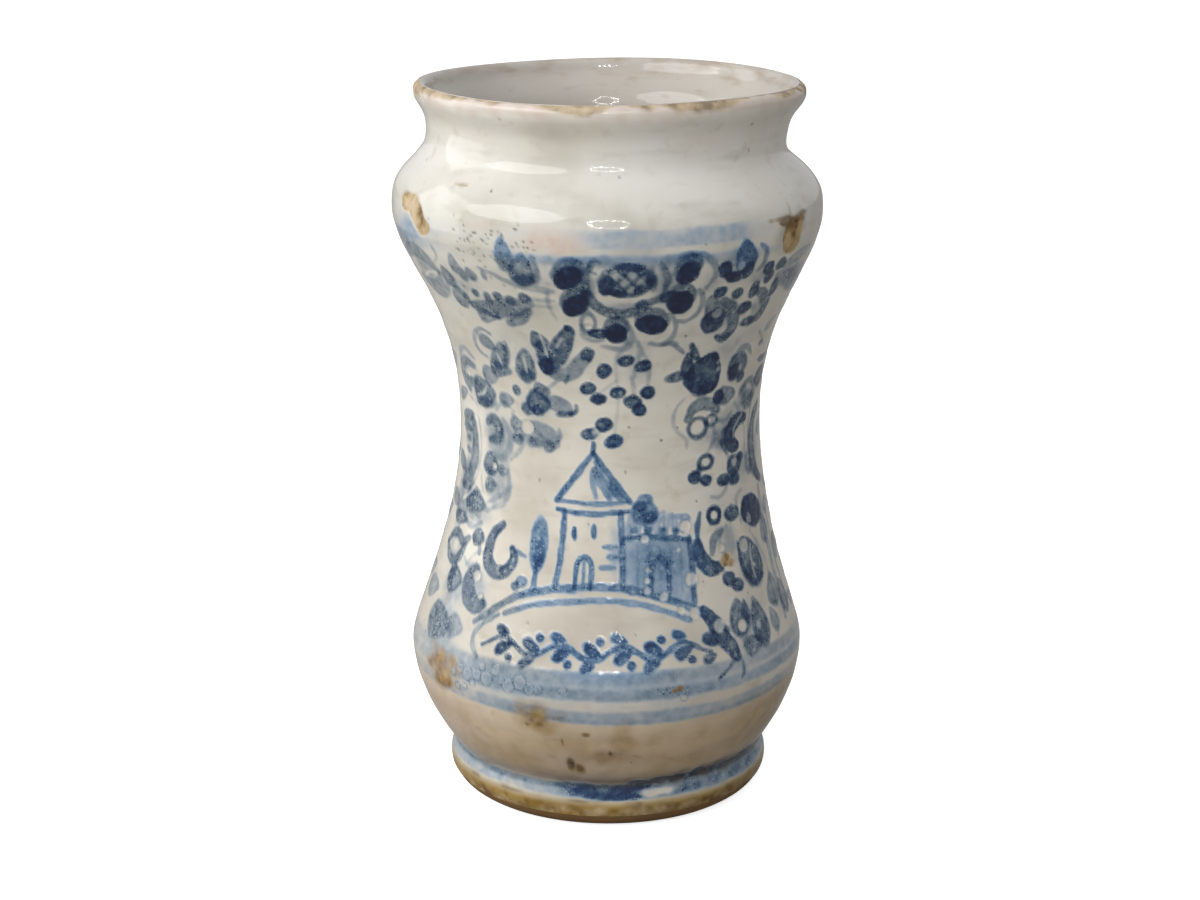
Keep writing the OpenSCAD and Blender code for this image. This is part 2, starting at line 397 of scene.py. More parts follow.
def oval(at, up, wide, tall, tilt, tip=0.0):
    """The vertices near an oval that narrows along its length by tip, and each one's distance to its edge."""
    found, x, y = reach(at, up, max(wide, tall), max(wide, tall))
    c, s = math.cos(math.radians(tilt)), math.sin(math.radians(tilt))
    across, rise = (x * c + y * s) / (wide / 2), (y * c - x * s) / (tall / 2)
    if tall >= wide:
        across = across / np.clip(1 - tip * rise, 0.3, 2)
    else:
        rise = rise / np.clip(1 - tip * across, 0.3, 2)
    return found, (np.hypot(across, rise) - 1) * min(wide, tall) / 2


def dab(at, up, wide, tall, tilt, tone, light=0.3, tip=0.0):
    """An oval touch of the brush, wide and tall in mm."""
    found, distance = oval(at, up, wide, tall, tilt, tip)
    paint(found, distance, min(wide, tall) / 2, tone, light)


def wash(at, up, wide, tall, tilt, tone):
    """A thin cloud of cobalt with no edge."""
    found, distance = oval(at, up, wide, tall, tilt)
    half = min(wide, tall) / 2
    uneven = distance + 0.35 * half + 0.6 * waver[found] + 0.1 * half * drift[found]
    lay(found, tone * (1.15 + 0.6 * drift[found]) * soft(uneven, 0.55 * half))


def smooth_path(path):
    """Points along a curve through the path's points."""
    path = np.array(path, float)
    if len(path) == 2:
        return path
    ends = np.concatenate([2 * path[:1] - path[1:2], path, 2 * path[-1:] - path[-2:-1]])
    t = np.linspace(0, 1, 7)[:-1, None]
    parts = []
    for a, b, c, d in zip(ends, ends[1:], ends[2:], ends[3:]):
        bend = (2 * a - 5 * b + 4 * c - d) * t ** 2 + (3 * b - a - 3 * c + d) * t ** 3
        parts.append(0.5 * (2 * b + (c - a) * t + bend))
    return np.concatenate(parts + [path[-1:]])


def along(path, width, taper):
    """The vertices near a path, and the distance of each to a stroke that narrows to its ends."""
    line = smooth_path(path)
    middle = (line.max(0) + line.min(0)) / 2
    spread = (line.max(0) - line.min(0)) / 2
    found, _, _ = reach(*middle, math.radians(spread[0]) * WIDEST + width + 1, spread[1] + width + 1)
    scale = np.radians(1) * radius[found]
    ax = ((line[:, 0][:, None] - angle[found] + 180) % 360 - 180) * scale
    ay = line[:, 1][:, None] - height[found]
    best = np.full(len(found), 1e9)
    for i in range(len(line) - 1):
        bx, by = ax[i + 1] - ax[i], ay[i + 1] - ay[i]
        t = np.clip(-(ax[i] * bx + ay[i] * by) / np.maximum(bx * bx + by * by, 1e-9), 0, 1)
        full = 1 - taper * np.abs(2 * (i + t) / (len(line) - 1) - 1) ** 2
        best = np.minimum(best, np.hypot(ax[i] + t * bx, ay[i] + t * by) - full * width / 2)
    return found, best


def stroke(tone, width, path, light=0.25, taper=0.45):
    """A drawn-out touch of the brush along a path."""
    found, distance = along(path, width, taper)
    paint(found, distance, width / 2, tone, light)


def ring(at, up, wide, tall, line, tone):
    """An oval outline."""
    found, distance = oval(at, up, wide, tall, 0)
    paint(found, np.abs(distance) - line / 2, line / 2, tone, 0)


def lift(at, up, across, share):
    """Takes cobalt off in a small round spot."""
    found, distance = oval(at, up, across, across, 0)
    cobalt[found] *= 1 - share * soft(distance + 0.15 * waver[found], 0.35)


def wipe(width, path, share):
    """Takes cobalt off along a path."""
    found, distance = along(path, width, 0.4)
    cobalt[found] *= 1 - share * soft(distance + 0.2 * waver[found], 0.4)


def band(low, high, tone, seed, middle, spread, rest, sway=0.4):
    """A line round the jar, full within a spread of degrees of its middle, front and back, else thinner."""
    wander = sway * np.sin(np.radians(angle) * 2 + seed) + 0.35 * drift
    distance = np.abs(height - (low + high) / 2 - wander) - (high - low) / 2
    found = np.nonzero(distance < 3)[0]
    aside = np.abs((angle[found] - middle + 90) % 180 - 90)
    full = rest + (1 - rest) * soft(aside - spread + 5 * drift[found], 7)
    thin = np.clip(1 + 0.4 * drift[found] + 0.2 * waver[found], 0, 1.4)
    lay(found, tone * full * thin * soft(distance[found] + 0.35 * waver[found], 0.8))


band(shoulder_high - 6, shoulder_high - 0.5, 0.205, 0.4, 16, 24, 0.22)
band(shoulder_low, shoulder_low + 3, 0.15, 2.1, 14, 34, 0.35)
band(belly_high - 8, belly_high + 0.4, 0.15, 2.0, -10, 46, 0.5)
band(belly_high - 3.4, belly_high, 0.14, 1.2, 20, 52, 0.4)
band(belly_high - 7.4, belly_high - 4.2, 0.2, 3.3, 24, 52, 0.4)
band(belly_low - 0.8, belly_low + 3.4, 0.2, 4.2, 16, 48, 0.5, sway=1.2)
band(belly_low - 1, belly_low + 0.6, 0.2, 4.2, 20, 40, 0.2, sway=1.2)
band(belly_low - 0.4, belly_high + 1.2, 0.13, 4.1, -20, 46, 0.5)

# The garland: a large flower with petals and berries under it, and leaves that hang down both sides. It is
# given as its front half, which the painter repeats behind: washes first, then leaves, strokes and dark dabs.
# An oval touch is (degrees, height, wide, tall, tilt, tone), and a stroke (tone, width, path).
WASHES = [
    (8, 150, 16, 12, 0, 0.14), (10, 142, 12, 14, 0, 0.12), (4, 177.5, 64, 7, 0, 0.22),
    (46, 117.6, 10, 9, 0, 0.25), (61, 108, 12, 12, 0, 0.16), (38, 120, 14, 8, 0, 0.14),
    (-45, 104, 16, 18, 0, 0.16), (-46, 120, 20, 20, 0, 0.2), (-6, 170.5, 8, 16, 0, 0.4),
    (14.5, 171, 10, 16, 0, 0.3), (4, 163, 22, 7, 0, 0.2), (-33, 161, 24, 9, 0, 0.26),
    (-54, 131, 18, 12, 0, 0.25), (-62, 168, 18, 18, 0, 0.26), (-60, 180, 34, 14, 0, 0.16),
    (-26, 175, 14, 16, 0, 0.14), (-20, 146, 18, 14, 0, 0.18), (-40, 145, 16, 14, 0, 0.1),
    (-26, 131, 18, 10, 0, 0.2), (-28, 121, 18, 10, 0, 0.25), (-57, 94, 22, 12, 0, 0.22),
    (-60, 58.6, 24, 14, 0, 0.34), (-48, 73, 16, 16, 0, 0.2), (-66, 81, 20, 12, 0, 0.2),
    (66, 166, 30, 12, -12, 0.4), (36, 158, 18, 16, 0, 0.18), (50, 158, 14, 12, 0, 0.22),
    (36, 176, 14, 12, 0, 0.25), (51, 140, 14, 12, 0, 0.24), (60, 129, 16, 12, 0, 0.2),
    (70, 112, 12, 16, 0, 0.22), (62, 93, 16, 12, 0, 0.26), (56, 79, 16, 18, 0, 0.22),
    (49, 62, 22, 18, 0, 0.26), (46, 86, 8, 14, 0, 0.2), (-66, 117, 12, 14, 0, 0.34),
    (-66, 105, 12, 12, 0, 0.3), (72, 133, 15, 12, 0, 0.26), (46, 170, 16, 8, 0, 0.24),
    (-44, 168, 18, 12, 0, 0.18), (-46, 110, 14, 30, 0, 0.13), (-62, 140, 18, 18, 0, 0.12),
    (-60, 70, 22, 20, 0, 0.2), (-70, 96, 14, 24, 0, 0.24), (70, 62, 14, 12, 0, 0.14),
    (50, 124, 16, 14, 0, 0.12), (47, 121, 18, 20, 0, 0.12), (55, 106, 14, 20, 0, 0.14),
    (41, 146, 18, 12, 0, 0.12), (44, 90, 14, 12, 0, 0.12), (52, 150, 26, 10, 0, 0.1),
    (42, 100, 16, 14, 0, 0.1), (-34, 150, 20, 14, 0, 0.1), (28, 170, 10, 14, 0, 0.14),
    (-16, 172, 10, 14, 0, 0.12), (24, 150, 12, 10, 0, 0.12), (-72, 176, 20, 12, 0, 0.26),
]
PETALS = [
    (-10.4, 172.9, 9.6, 7.0, 35), (-9.4, 164.2, 9.2, 6.4, 40), (20.9, 173.8, 8.0, 6.8, 45),
    (20.0, 164.6, 8.2, 8.2, 0), (12.3, 158.0, 9.6, 6.6, -15), (2.0, 155.4, 6.6, 6.8, -30),
]
BERRIES = [
    (-2, 143, 4.2, 5, -25, 0.9), (5.3, 146.2, 5, 3.4, 12, 0.86), (11, 144.5, 4.8, 4, 10, 0.9),
    (-7.6, 137.3, 4.6, 3.8, 20, 0.84), (-4, 134.2, 4.8, 3.5, 8, 0.9), (2.6, 136.3, 4.6, 3.4, 5, 0.92),
    (13, 135.9, 4.4, 4.1, 0, 0.93), (8.1, 133.2, 5.6, 4.2, -10, 0.78), (10.3, 130.7, 4.4, 4, 0, 0.9),
    (-2.2, 126.3, 5, 4.4, 30, 0.84), (-7.3, 123.3, 5.2, 3.6, 20, 0.78), (1.4, 121.1, 5.4, 4, 20, 0.86),
    (32, 108.5, 4.6, 4, 0, 0.88), (34.2, 110.4, 2, 2, 0, 0.7), (37.4, 106.9, 4.4, 3.2, 0, 0.92),
    (46, 105.6, 5.4, 3.6, 0, 0.85), (48.8, 95, 7, 4.6, 0, 0.82), (43, 76.6, 5.4, 4.4, -10, 0.78),
    (47, 74, 5.4, 4, -10, 0.84), (32, 166.3, 4.6, 3.8, 0, 0.88), (38.3, 165, 4.2, 3.4, 0, 0.85),
    (44.6, 165.2, 4, 5.2, 0, 0.85), (43.6, 159.8, 5.6, 4, 0, 0.9), (47.5, 171.6, 4.6, 4, 0, 0.85),
    (49, 168.6, 4, 4.2, 0, 0.85), (53, 172, 5, 3.6, 0, 0.75), (-13, 156.5, 2, 1.9, 0, 0.98),
]
SOLID = [
    (31.6, 173.4, 4.4, 5.4, 30, 0.95), (34.6, 170.8, 6.4, 3.8, -10, 0.95),
    (39.2, 172.2, 4.4, 5, -20, 0.88), (32.4, 157.2, 8, 8, -20, 0.84), (47.8, 154.7, 6.2, 3, 0, 0.82),
    (54.4, 164.6, 4, 6, 20, 0.76), (48.7, 138.6, 5, 5.2, 0, 0.92), (53.6, 136.2, 4, 3, 20, 0.85),
    (42.5, 131.6, 4.2, 4.6, 20, 0.84), (61.8, 93.4, 14, 9.6, -20, 0.92), (72, 133.2, 10, 6.6, 0, 0.88),
    (70, 139.2, 8, 2.4, -5, 0.72), (57, 111, 3.6, 3, 0, 0.85), (52, 104.8, 5.2, 3.4, 0, 0.8),
    (65, 128, 5, 3, 0, 0.56), (16.2, 166.6, 5, 3.4, 20, 0.85), (8.6, 164.4, 3.4, 2.2, 20, 0.85),
    (-21.6, 143.8, 5, 5.6, 0, 0.8), (-22.6, 171.3, 6.6, 3.6, 0, 0.6), (-29.2, 140.2, 5, 3.4, 0, 0.55),
    (-52, 128.4, 9, 3, 5, 0.5), (-22.3, 118.6, 3.2, 4, -30, 0.55), (-16, 129, 5, 1.8, 8, 0.6),
    (-26.6, 129, 4.4, 2.6, 0, 0.6), (-35, 134.8, 3, 3.4, 0, 0.55), (-36, 119.6, 4, 3.6, 0, 0.46),
    (-45.6, 162.4, 2.6, 5, 15, 0.52), (-43.8, 160.5, 3.4, 2.4, 0, 0.5), (-68, 99.6, 8, 2, 0, 0.56),
    (-66.8, 114.8, 3.6, 2, 0, 0.5), (-67, 111, 3.6, 2, 0, 0.48), (-40.6, 164.9, 2.8, 2.8, 20, 0.55),
    (-36.6, 164, 2.6, 3.2, 0, 0.55), (-32.6, 164.8, 3.2, 2.8, 0, 0.58), (-28.6, 164, 3.4, 3.2, 0, 0.58),
    (-24, 165.2, 3.6, 3.6, 0, 0.66), (-35.5, 158.6, 2.4, 3, 0, 0.52), (-34.8, 170.8, 2, 3, 0, 0.4),
    (22.8, 140, 6, 3.4, 8, 0.7),
]
LEAVES = [
    (34.5, 140.2, 12.6, 13.4, -20, 0.86), (37.6, 176.8, 7.4, 10.4, 15, 0.7),
    (50.6, 140.2, 9.4, 9, 0, 0.55), (46.6, 131.6, 8.4, 5.6, 0, 0.52), (61, 128.4, 8, 5, 10, 0.44),
    (57, 131.4, 5, 4, 0, 0.3), (53, 109, 7.6, 6.2, 10, 0.7), (55.6, 79.6, 11.4, 16.4, 24, 0.6),
    (44.6, 65, 8, 11, 0, 0.54), (53.6, 61.6, 8, 14.4, 6, 0.56), (48.6, 56.2, 9, 5.4, 0, 0.48),
    (48, 66, 3.4, 6.4, 0, 0.66), (-23, 151.8, 5.2, 6.4, 25, 0.58), (-7, 148, 4.4, 3.8, 40, 0.66),
    (-27, 178.4, 5.6, 10, 4, 0.42), (-22.8, 174.2, 7.4, 10, -12, 0.48), (-19.4, 174.6, 3.8, 8, 0, 0.38),
    (-40, 157.6, 7, 4.4, 0, 0.4), (-50, 168.6, 4.8, 6.6, 20, 0.42), (-48.6, 162.4, 6, 7.4, -25, 0.4),
    (-45, 173.6, 4, 6, 0, 0.34), (-42.5, 170.4, 3.2, 4, 0, 0.38), (-39.6, 171, 3.6, 4.2, 20, 0.42),
    (-29.6, 143.2, 6.6, 10.8, -8, 0.5), (-44, 148.3, 7, 4.4, -25, 0.4), (-39.6, 145, 6, 10, -30, 0.42),
    (-41, 140.4, 8.4, 5, 0, 0.46), (-52, 131.4, 11, 9, 8, 0.44), (-47, 137.6, 7, 6, 0, 0.36),
    (-40, 131, 6, 4.6, 0, 0.34), (-26, 131.7, 8, 7.6, 0, 0.54), (-24.4, 135.4, 5.2, 5, 0, 0.54),
    (-30, 129.5, 5.4, 3.8, 15, 0.54), (-36, 124, 5, 4.2, 0, 0.36), (-28, 119.4, 5.4, 3.2, 0, 0.36),
    (-50, 110, 7, 7, 0, 0.48), (-43, 108.6, 3.6, 3, 0, 0.4), (-49, 103.5, 5.6, 4.2, 15, 0.42),
    (-58, 96.6, 12, 6.8, 0, 0.5), (-67, 90, 10, 4.4, 0, 0.52), (-52, 87, 6, 5, 0, 0.6),
    (-60.5, 72.5, 8.6, 8, 0, 0.56), (-63, 58.8, 15, 10.4, 0, 0.38), (-53.4, 60, 8.6, 7, 0, 0.3),
    (-67, 121.6, 9, 4, 18, 0.48), (-68, 117.8, 8, 2.6, 0, 0.46), (-60, 100, 7, 4, 0, 0.34),
    (-71, 128, 9, 4, 24, 0.42), (-73, 106, 9, 5, -24, 0.42), (-76, 94, 10, 5, -10, 0.36),
    (-76, 66, 12, 7, 10, 0.34), (-78, 138, 10, 6, 20, 0.36), (79, 141, 8, 5, 20, 0.44),
    (78, 116, 7, 5, -20, 0.4), (77, 92, 7, 5, 20, 0.4), (70, 86, 7, 9, 10, 0.4),
    (66, 68, 8, 10, -12, 0.4), (74, 64, 8, 11, 14, 0.44), (62, 60, 5, 8, 20, 0.4), (80, 78, 8, 8, 0, 0.4),
    (63, 108, 5, 7, 10, 0.34), (66, 151, 7, 4, 30, 0.26),
]
STROKES = [
    (0.56, 3.2, [(-4.2, 177), (-6, 172.5), (-5.6, 167.5), (-3, 163.4), (1.5, 161.4), (6, 161.8),
                 (10, 164), (14.5, 166.6)]), (0.46, 2.4, [(13.4, 176.8), (15.2, 172.5), (14.8, 168)]),
    (0.46, 1.1, [(-2, 177.6), (-3.6, 178), (-4.4, 175), (-3, 174)]),
    (0.38, 1.7, [(17, 173.5), (17.6, 177.5), (20, 179.3), (24, 178.8), (27.6, 176), (28.8, 172),
                 (27, 168.4)]),
    (0.4, 1.6, [(24.8, 168), (26.8, 164.5), (26.2, 160.5), (23, 158), (20.5, 158.4)]),
    (0.38, 1.7, [(17.4, 161.5), (19.8, 157.5), (19.6, 153.5), (16.5, 151), (12.5, 151.6)]),
    (0.48, 1.4, [(16.5, 151), (20, 151), (24.5, 147.5)]),
    (0.34, 1.5, [(-8.6, 157.6), (-8, 154), (-4.8, 152.6), (-2, 152.8)]),
    (0.3, 2, [(4.6, 158.5), (6.4, 155), (5.8, 151), (3, 150), (-2.5, 151)]),
    (0.97, 3, [(-6.2, 155.6), (-3.4, 155), (0, 155.2)]),
    (0.25, 1.1, [(-16.5, 168), (-17, 163), (-15.6, 159)]),
    (0.28, 2.2, [(-24, 168.6), (-19, 168.4), (-15, 168)]), (0.24, 1.4, [(-23, 165), (-15, 165)]),
    (0.22, 1.3, [(-23, 163), (-16, 163)]), (0.35, 1.3, [(-36, 173.5), (-31.5, 171.8), (-25, 168.8)]),
    (0.22, 1.3, [(6, 157), (9.5, 149), (8, 141)]), (0.22, 1.3, [(9, 152), (13, 143), (13, 138)]),
    (0.2, 1.3, [(5.5, 152), (2, 146.5), (2.5, 138)]), (0.2, 1.2, [(7, 141), (8, 138), (8.5, 135)]),
    (0.2, 1.2, [(2, 140), (-1, 137.6), (-4, 136)]), (0.18, 1.2, [(3, 134), (2.4, 128), (1.5, 123)]),
    (0.82, 2.4, [(27, 150), (28.5, 147), (30.5, 145)]),
    (0.82, 4, [(26.4, 146.5), (27, 142), (29.4, 139)]),
    (0.68, 6, [(-20.8, 142.6), (-17.6, 147), (-14.6, 151.6), (-12.4, 155.8)]),
    (0.62, 4.4, [(-22.8, 151), (-21.8, 147), (-21, 143)]),
    (0.42, 4.6, [(-19.5, 141), (-14, 141.5), (-9.5, 145.5), (-7.2, 149.4)]),
    (0.5, 1.2, [(-14, 141.5), (-15.5, 138.5)]),
    (0.38, 6, [(-43.5, 160), (-36, 160.4), (-29, 161.6), (-23, 163.4)]),
    (0.5, 3.4, [(-32, 156.4), (-27.5, 158), (-23.5, 161.5)]),
    (0.36, 1.6, [(-41.6, 151.6), (-45, 152.6), (-49, 150.8), (-51, 147.5), (-49.6, 144.8),
                 (-46.6, 143.6)]), (0.46, 2.2, [(-36, 149.5), (-36.4, 146), (-37.6, 142)]),
    (0.34, 5, [(-73, 171.5), (-66, 174), (-59, 173), (-54.5, 169.5)]),
    (0.3, 6, [(-68, 165), (-61, 162.8), (-55, 164.6), (-53.4, 168)]),
    (0.26, 1.2, [(-52.6, 177.5), (-51.5, 174.5), (-54, 172)]),
    (0.3, 1.4, [(-66, 139), (-65, 142.4), (-60, 144), (-55, 141.6)]),
    (0.44, 3.6, [(-56, 139), (-62, 139.6), (-66.5, 137), (-67, 133.4), (-63, 130.8)]),
    (0.42, 3, [(-66, 134.6), (-60.5, 133.4), (-56, 135)]),
    (0.42, 5, [(-22.5, 132.6), (-18, 131.8), (-14.4, 129.6)]),
    (0.58, 1.3, [(-14.4, 129.2), (-12.2, 130), (-12, 132)]),
    (0.32, 1.2, [(-24.5, 135), (-19, 138.6), (-16.5, 141)]),
    (0.34, 5, [(-29, 124.6), (-23.5, 122.6), (-20, 119.4)]),
    (0.45, 1.2, [(-19.8, 120), (-18.2, 122), (-18.6, 124.4)]),
    (0.5, 4, [(-51.5, 122.4), (-47.8, 123.8), (-45, 121), (-46.2, 118), (-50, 117.2)]),
    (0.22, 2.4, [(-43, 124.5), (-39.6, 120.5), (-40, 115.5), (-44, 112.5), (-49, 113)]),
    (0.2, 2, [(-40.5, 109.5), (-39.5, 104), (-42, 99), (-47, 97)]),
    (0.24, 1.8, [(-38, 127), (-34, 122), (-35, 116), (-39, 113)]),
    (0.2, 1.6, [(-50, 98), (-44, 101), (-38, 105)]),
    (0.42, 5, [(-62.5, 121), (-61, 114), (-61.6, 108), (-65, 103.6), (-70, 100.5)]),
    (0.54, 3, [(-73.6, 81), (-69.5, 84.4), (-65, 85.2), (-61, 83.6), (-57.4, 85.6)]),
    (0.54, 3, [(-73.6, 81), (-69, 77.6), (-64, 77.2), (-60.6, 80), (-59, 83.4)]),
    (0.3, 1.4, [(-64, 92), (-58, 89), (-52, 91.5)]), (0.26, 1.3, [(-58, 80), (-54, 78), (-50, 80)]),
    (0.68, 4.2, [(-40.5, 93), (-44, 90), (-45.6, 86), (-45, 81.5), (-41, 79), (-36.5, 80), (-34, 83.5),
                 (-35, 86.6)]), (0.55, 1.4, [(-36, 86.8), (-33, 86.2), (-29.5, 85.2)]),
    (0.45, 1.6, [(-51, 86), (-50, 82.5)]),
    (0.62, 6.2, [(-49.5, 78), (-52, 74.5), (-50.6, 70.4), (-46.5, 68), (-43.4, 69)]),
    (0.48, 1.8, [(42, 179.6), (44.5, 177.5), (44.8, 174), (43, 171.5)]),
    (0.3, 4, [(55, 171), (62, 173), (70, 174)]), (0.3, 6, [(54, 168), (62, 166), (70, 163), (78, 161)]),
    (0.54, 4.6, [(34, 163.4), (37.6, 160.4), (40.4, 156.6), (41, 153.2), (38.4, 151.2)]),
    (0.74, 2, [(35.5, 151.6), (38.5, 150.4), (42, 152.2)]),
    (0.5, 5, [(29.6, 164.4), (30.6, 161.4), (31.4, 158.4)]),
    (0.58, 4, [(46.4, 164.6), (50, 163), (53.4, 159.5), (53, 156.2), (49.4, 154.4)]),
    (0.4, 1.6, [(46.5, 143.5), (49.5, 146), (54, 145.5), (57.5, 142.8)]),
    (0.3, 1.3, [(43, 124.5), (47, 123.5), (50.5, 125.5)]),
    (0.55, 4, [(29, 126.4), (31, 129.4), (35, 130.5), (39.5, 129.5), (42.5, 127.4)]),
    (0.24, 1.4, [(27.4, 133), (24, 130), (23.2, 125.6), (25.4, 122.6), (28.4, 120.4), (29, 117.6)]),
    (0.92, 5.4, [(60, 122.4), (55, 122.6), (51, 120.6), (49.8, 117.6), (52, 115.2), (54.5, 114.6)]),
    (0.42, 1.4, [(49, 122.5), (46, 120), (45.6, 116.5), (48, 113.5)]),
    (0.55, 2.4, [(62, 145.4), (64.4, 145)]),
    (0.66, 5, [(74, 124), (69, 121), (66.8, 115), (67.4, 108), (70.6, 103), (74.6, 100.4)]),
    (0.8, 3.6, [(68.4, 105.4), (71, 102.6), (74.6, 100.6)]),
    (0.3, 1.5, [(66, 126), (63.6, 119), (64, 110), (66, 103)]),
    (0.5, 2.4, [(56, 131.4), (59.6, 134), (64, 133), (66.4, 129.6), (64.6, 126), (60, 125.2)]),
    (0.76, 1.8, [(33.4, 97.5), (31.8, 93), (32, 89)]),
    (0.84, 5, [(31.4, 89), (32.5, 84.4), (36, 81), (40.6, 80.6)]),
    (0.5, 3, [(37.4, 85), (38.6, 89), (42.5, 91)]),
    (0.74, 1.6, [(49.8, 86), (50.2, 80), (53, 75), (57, 72.2), (62, 74)]),
    (0.8, 5.4, [(31, 69.5), (34, 66), (36.4, 61.4), (39.5, 57), (41, 54.4)]),
    (0.7, 1, [(40, 54), (36.5, 51.5), (33, 49.5)]), (0.6, 1, [(42.5, 53), (42.5, 50), (41.5, 48)]),
    (0.24, 1.4, [(58, 88), (63, 82), (66, 76), (66, 66)]),
    (0.34, 3.4, [(71, 99), (70.4, 90), (71.6, 78), (70.6, 58)]),
    (0.32, 2.6, [(76.6, 90), (76, 76), (77.4, 60)]),
    (0.22, 1.5, [(-66, 128.6), (-59.4, 126), (-56.4, 118), (-56.6, 110), (-59.4, 103), (-64, 98.4)]),
    (0.2, 1.3, [(-52, 112.6), (-56, 107), (-54, 101)]),
    (0.26, 1.3, [(44, 134.6), (40.4, 129), (41, 122), (45.6, 116.4)]),
    (0.24, 1.3, [(52, 128), (56.6, 124.6), (60.4, 118.4), (60, 110)]),
    (0.24, 1.2, [(38, 115), (42.6, 118.6), (47, 114.8), (50.4, 110)]),
    (0.26, 1.3, [(56, 101), (52, 98.6), (53.6, 91.4)]), (0.22, 1.3, [(45, 92), (41, 88), (44, 80)]),
    (0.24, 1.3, [(58, 150), (63, 146.6), (68, 143)]), (0.22, 1.2, [(-46, 127), (-42, 130), (-37, 128)]),
    (0.24, 1.3, [(-56, 100), (-51, 96), (-46, 97)]), (0.22, 1.2, [(-56, 78), (-52, 82), (-47, 84)]),
    (0.22, 1.2, [(48, 104), (44, 101), (39, 101.6)]),
]
HEAD = [
    (-0.6, 170.2, 4.4, 6, -15, 0.85), (2.2, 168, 6, 2.6, -15, 0.84), (5.4, 176.1, 9, 2.4, -4, 0.84),
    (11.2, 172.2, 3, 7.4, 8, 0.6), (4.8, 171.8, 13, 8.6, 0, 0.28), (8.2, 168.8, 4, 2.4, 20, 0.55),
]
LATTICE = [
    [(0.8, 169.6), (5.4, 175.3)], [(3.6, 168.6), (9.3, 174.6)], [(7, 168.6), (10.8, 172.5)],
    [(0.2, 172.8), (4.3, 168.4)], [(2.7, 175), (8.6, 168.5)], [(6.5, 175.4), (11.1, 170.6)],
]
BUBBLES = [
    (36.6, 174, 3), (33, 159.4, 3.2), (52, 139.4, 2), (39.4, 143, 1.5), (40, 140.8, 1.5),
    (52.6, 110, 2.6), (46.4, 157.4, 2.6), (58.6, 91.4, 3), (55.4, 118.4, 2.2), (52.6, 61, 2.6),
    (45.4, 62.6, 3.6), (-66, 81.4, 3),
]
RINGS = [
    (4.7, 171.8, 14, 9, 1.3, 0.6), (-6.3, 158.4, 4, 6, 1.2, 0.45), (33.6, 123.3, 6.4, 5.8, 1.2, 0.62),
    (39.8, 124.8, 4, 3.2, 1.1, 0.6), (37.4, 112.3, 5, 3.8, 1.3, 0.74), (39.6, 96, 4.2, 4.2, 1.7, 0.85),
]
RESERVED = [
    (1.5, [(-61, 127), (-56.4, 122), (-55.2, 114), (-57, 105), (-62, 99), (-68, 95.5)]),
    (1.1, [(-50, 134), (-53, 131), (-57, 130)]), (1, [(-66, 165.6), (-60, 168), (-55, 168.6)]),
    (1, [(-41, 145.4), (-39.6, 142)]), (0.9, [(-29.8, 146), (-29.4, 141)]),
    (0.9, [(-22, 154), (-20.6, 147)]), (0.9, [(-17, 150), (-15, 153)]),
    (1, [(58, 124), (53, 120.4), (52.4, 117.4)]), (1, [(57, 84), (56, 78), (57, 74)]),
]


def moved(path, turn):
    """A path turned round the jar by degrees."""
    return [(a + turn, z) for a, z in path]


for turn in (0, 180):
    for at, up, *rest in WASHES:
        wash(at + turn, up, *rest)
    for at, up, wide, tall, tilt, tone in LEAVES:
        dab(at + turn, up, wide, tall, tilt, 1.12 * tone, light=0.55, tip=0.35)
        lean = math.radians(tilt if tall >= wide else tilt - 90)
        back = 0.27 * max(wide, tall)
        at, up = at + turn + back * math.sin(lean), up - back * math.cos(lean)
        dab(at, up, 0.6 * wide, 0.6 * tall, tilt, 0.5 * tone)
    for tone, width, path in STROKES:
        stroke(tone, width, moved(path, turn))
    for at, up, *rest in HEAD + SOLID:
        dab(at + turn, up, *rest, light=0.15)
    for at, up, wide, tall, tilt in PETALS:
        dab(at + turn, up + 1.6, wide + 1, tall + 0.8, tilt, 0.55, light=0.2)
        dab(at + turn, up - 0.3, 0.96 * wide, 0.92 * tall, tilt, 1.0, light=0)
    for at, up, *rest in BERRIES:
        dab(at + turn, up, *rest, light=0.24)
    for path in LATTICE:
        stroke(0.66, 1.1, moved(path, turn))
    for at, up, *rest in RINGS:
        ring(at + turn, up, *rest)
    for width, path in RESERVED:
        wipe(width, moved(path, turn), 0.7)
    for at, up, across in BUBBLES:
        lift(at + turn, up, across, 0.6)

# The side sprays: a thin stem with leaves and berries trails down each side of the jar, between the front
# half of the garland and its back.
SPRAY_TOP = 166
SPRAY_STEP = 9.4
SPRAY_JOINTS = 12
for side in (90, -92):
    stem = [(side + 2.6 * (-1) ** k, SPRAY_TOP - SPRAY_STEP * k) for k in range(SPRAY_JOINTS)]
    stroke(0.36, 1.5, stem, taper=0.7)
    for k, (at, up) in enumerate(stem):
        way = (-1) ** k
        dab(at + 5 * way, up - 2, 8.4, 5, 24 * way, 0.5 + 0.06 * math.sin(2.3 * k), light=0.5, tip=0.35 * way)
        dab(at - 4.4 * way, up - 4.6, 5.6, 3.6, -30 * way, 0.42, light=0.5, tip=-0.3 * way)
        dab(at - 6.8 * way, up - 0.6, 3.2, 2.8, 0, 0.66)
    wash(side, 150, 18, 16, 0, 0.16)
    wash(side + 1, 120, 16, 16, 0, 0.18)
    wash(side - 1, 88, 18, 18, 0, 0.16)

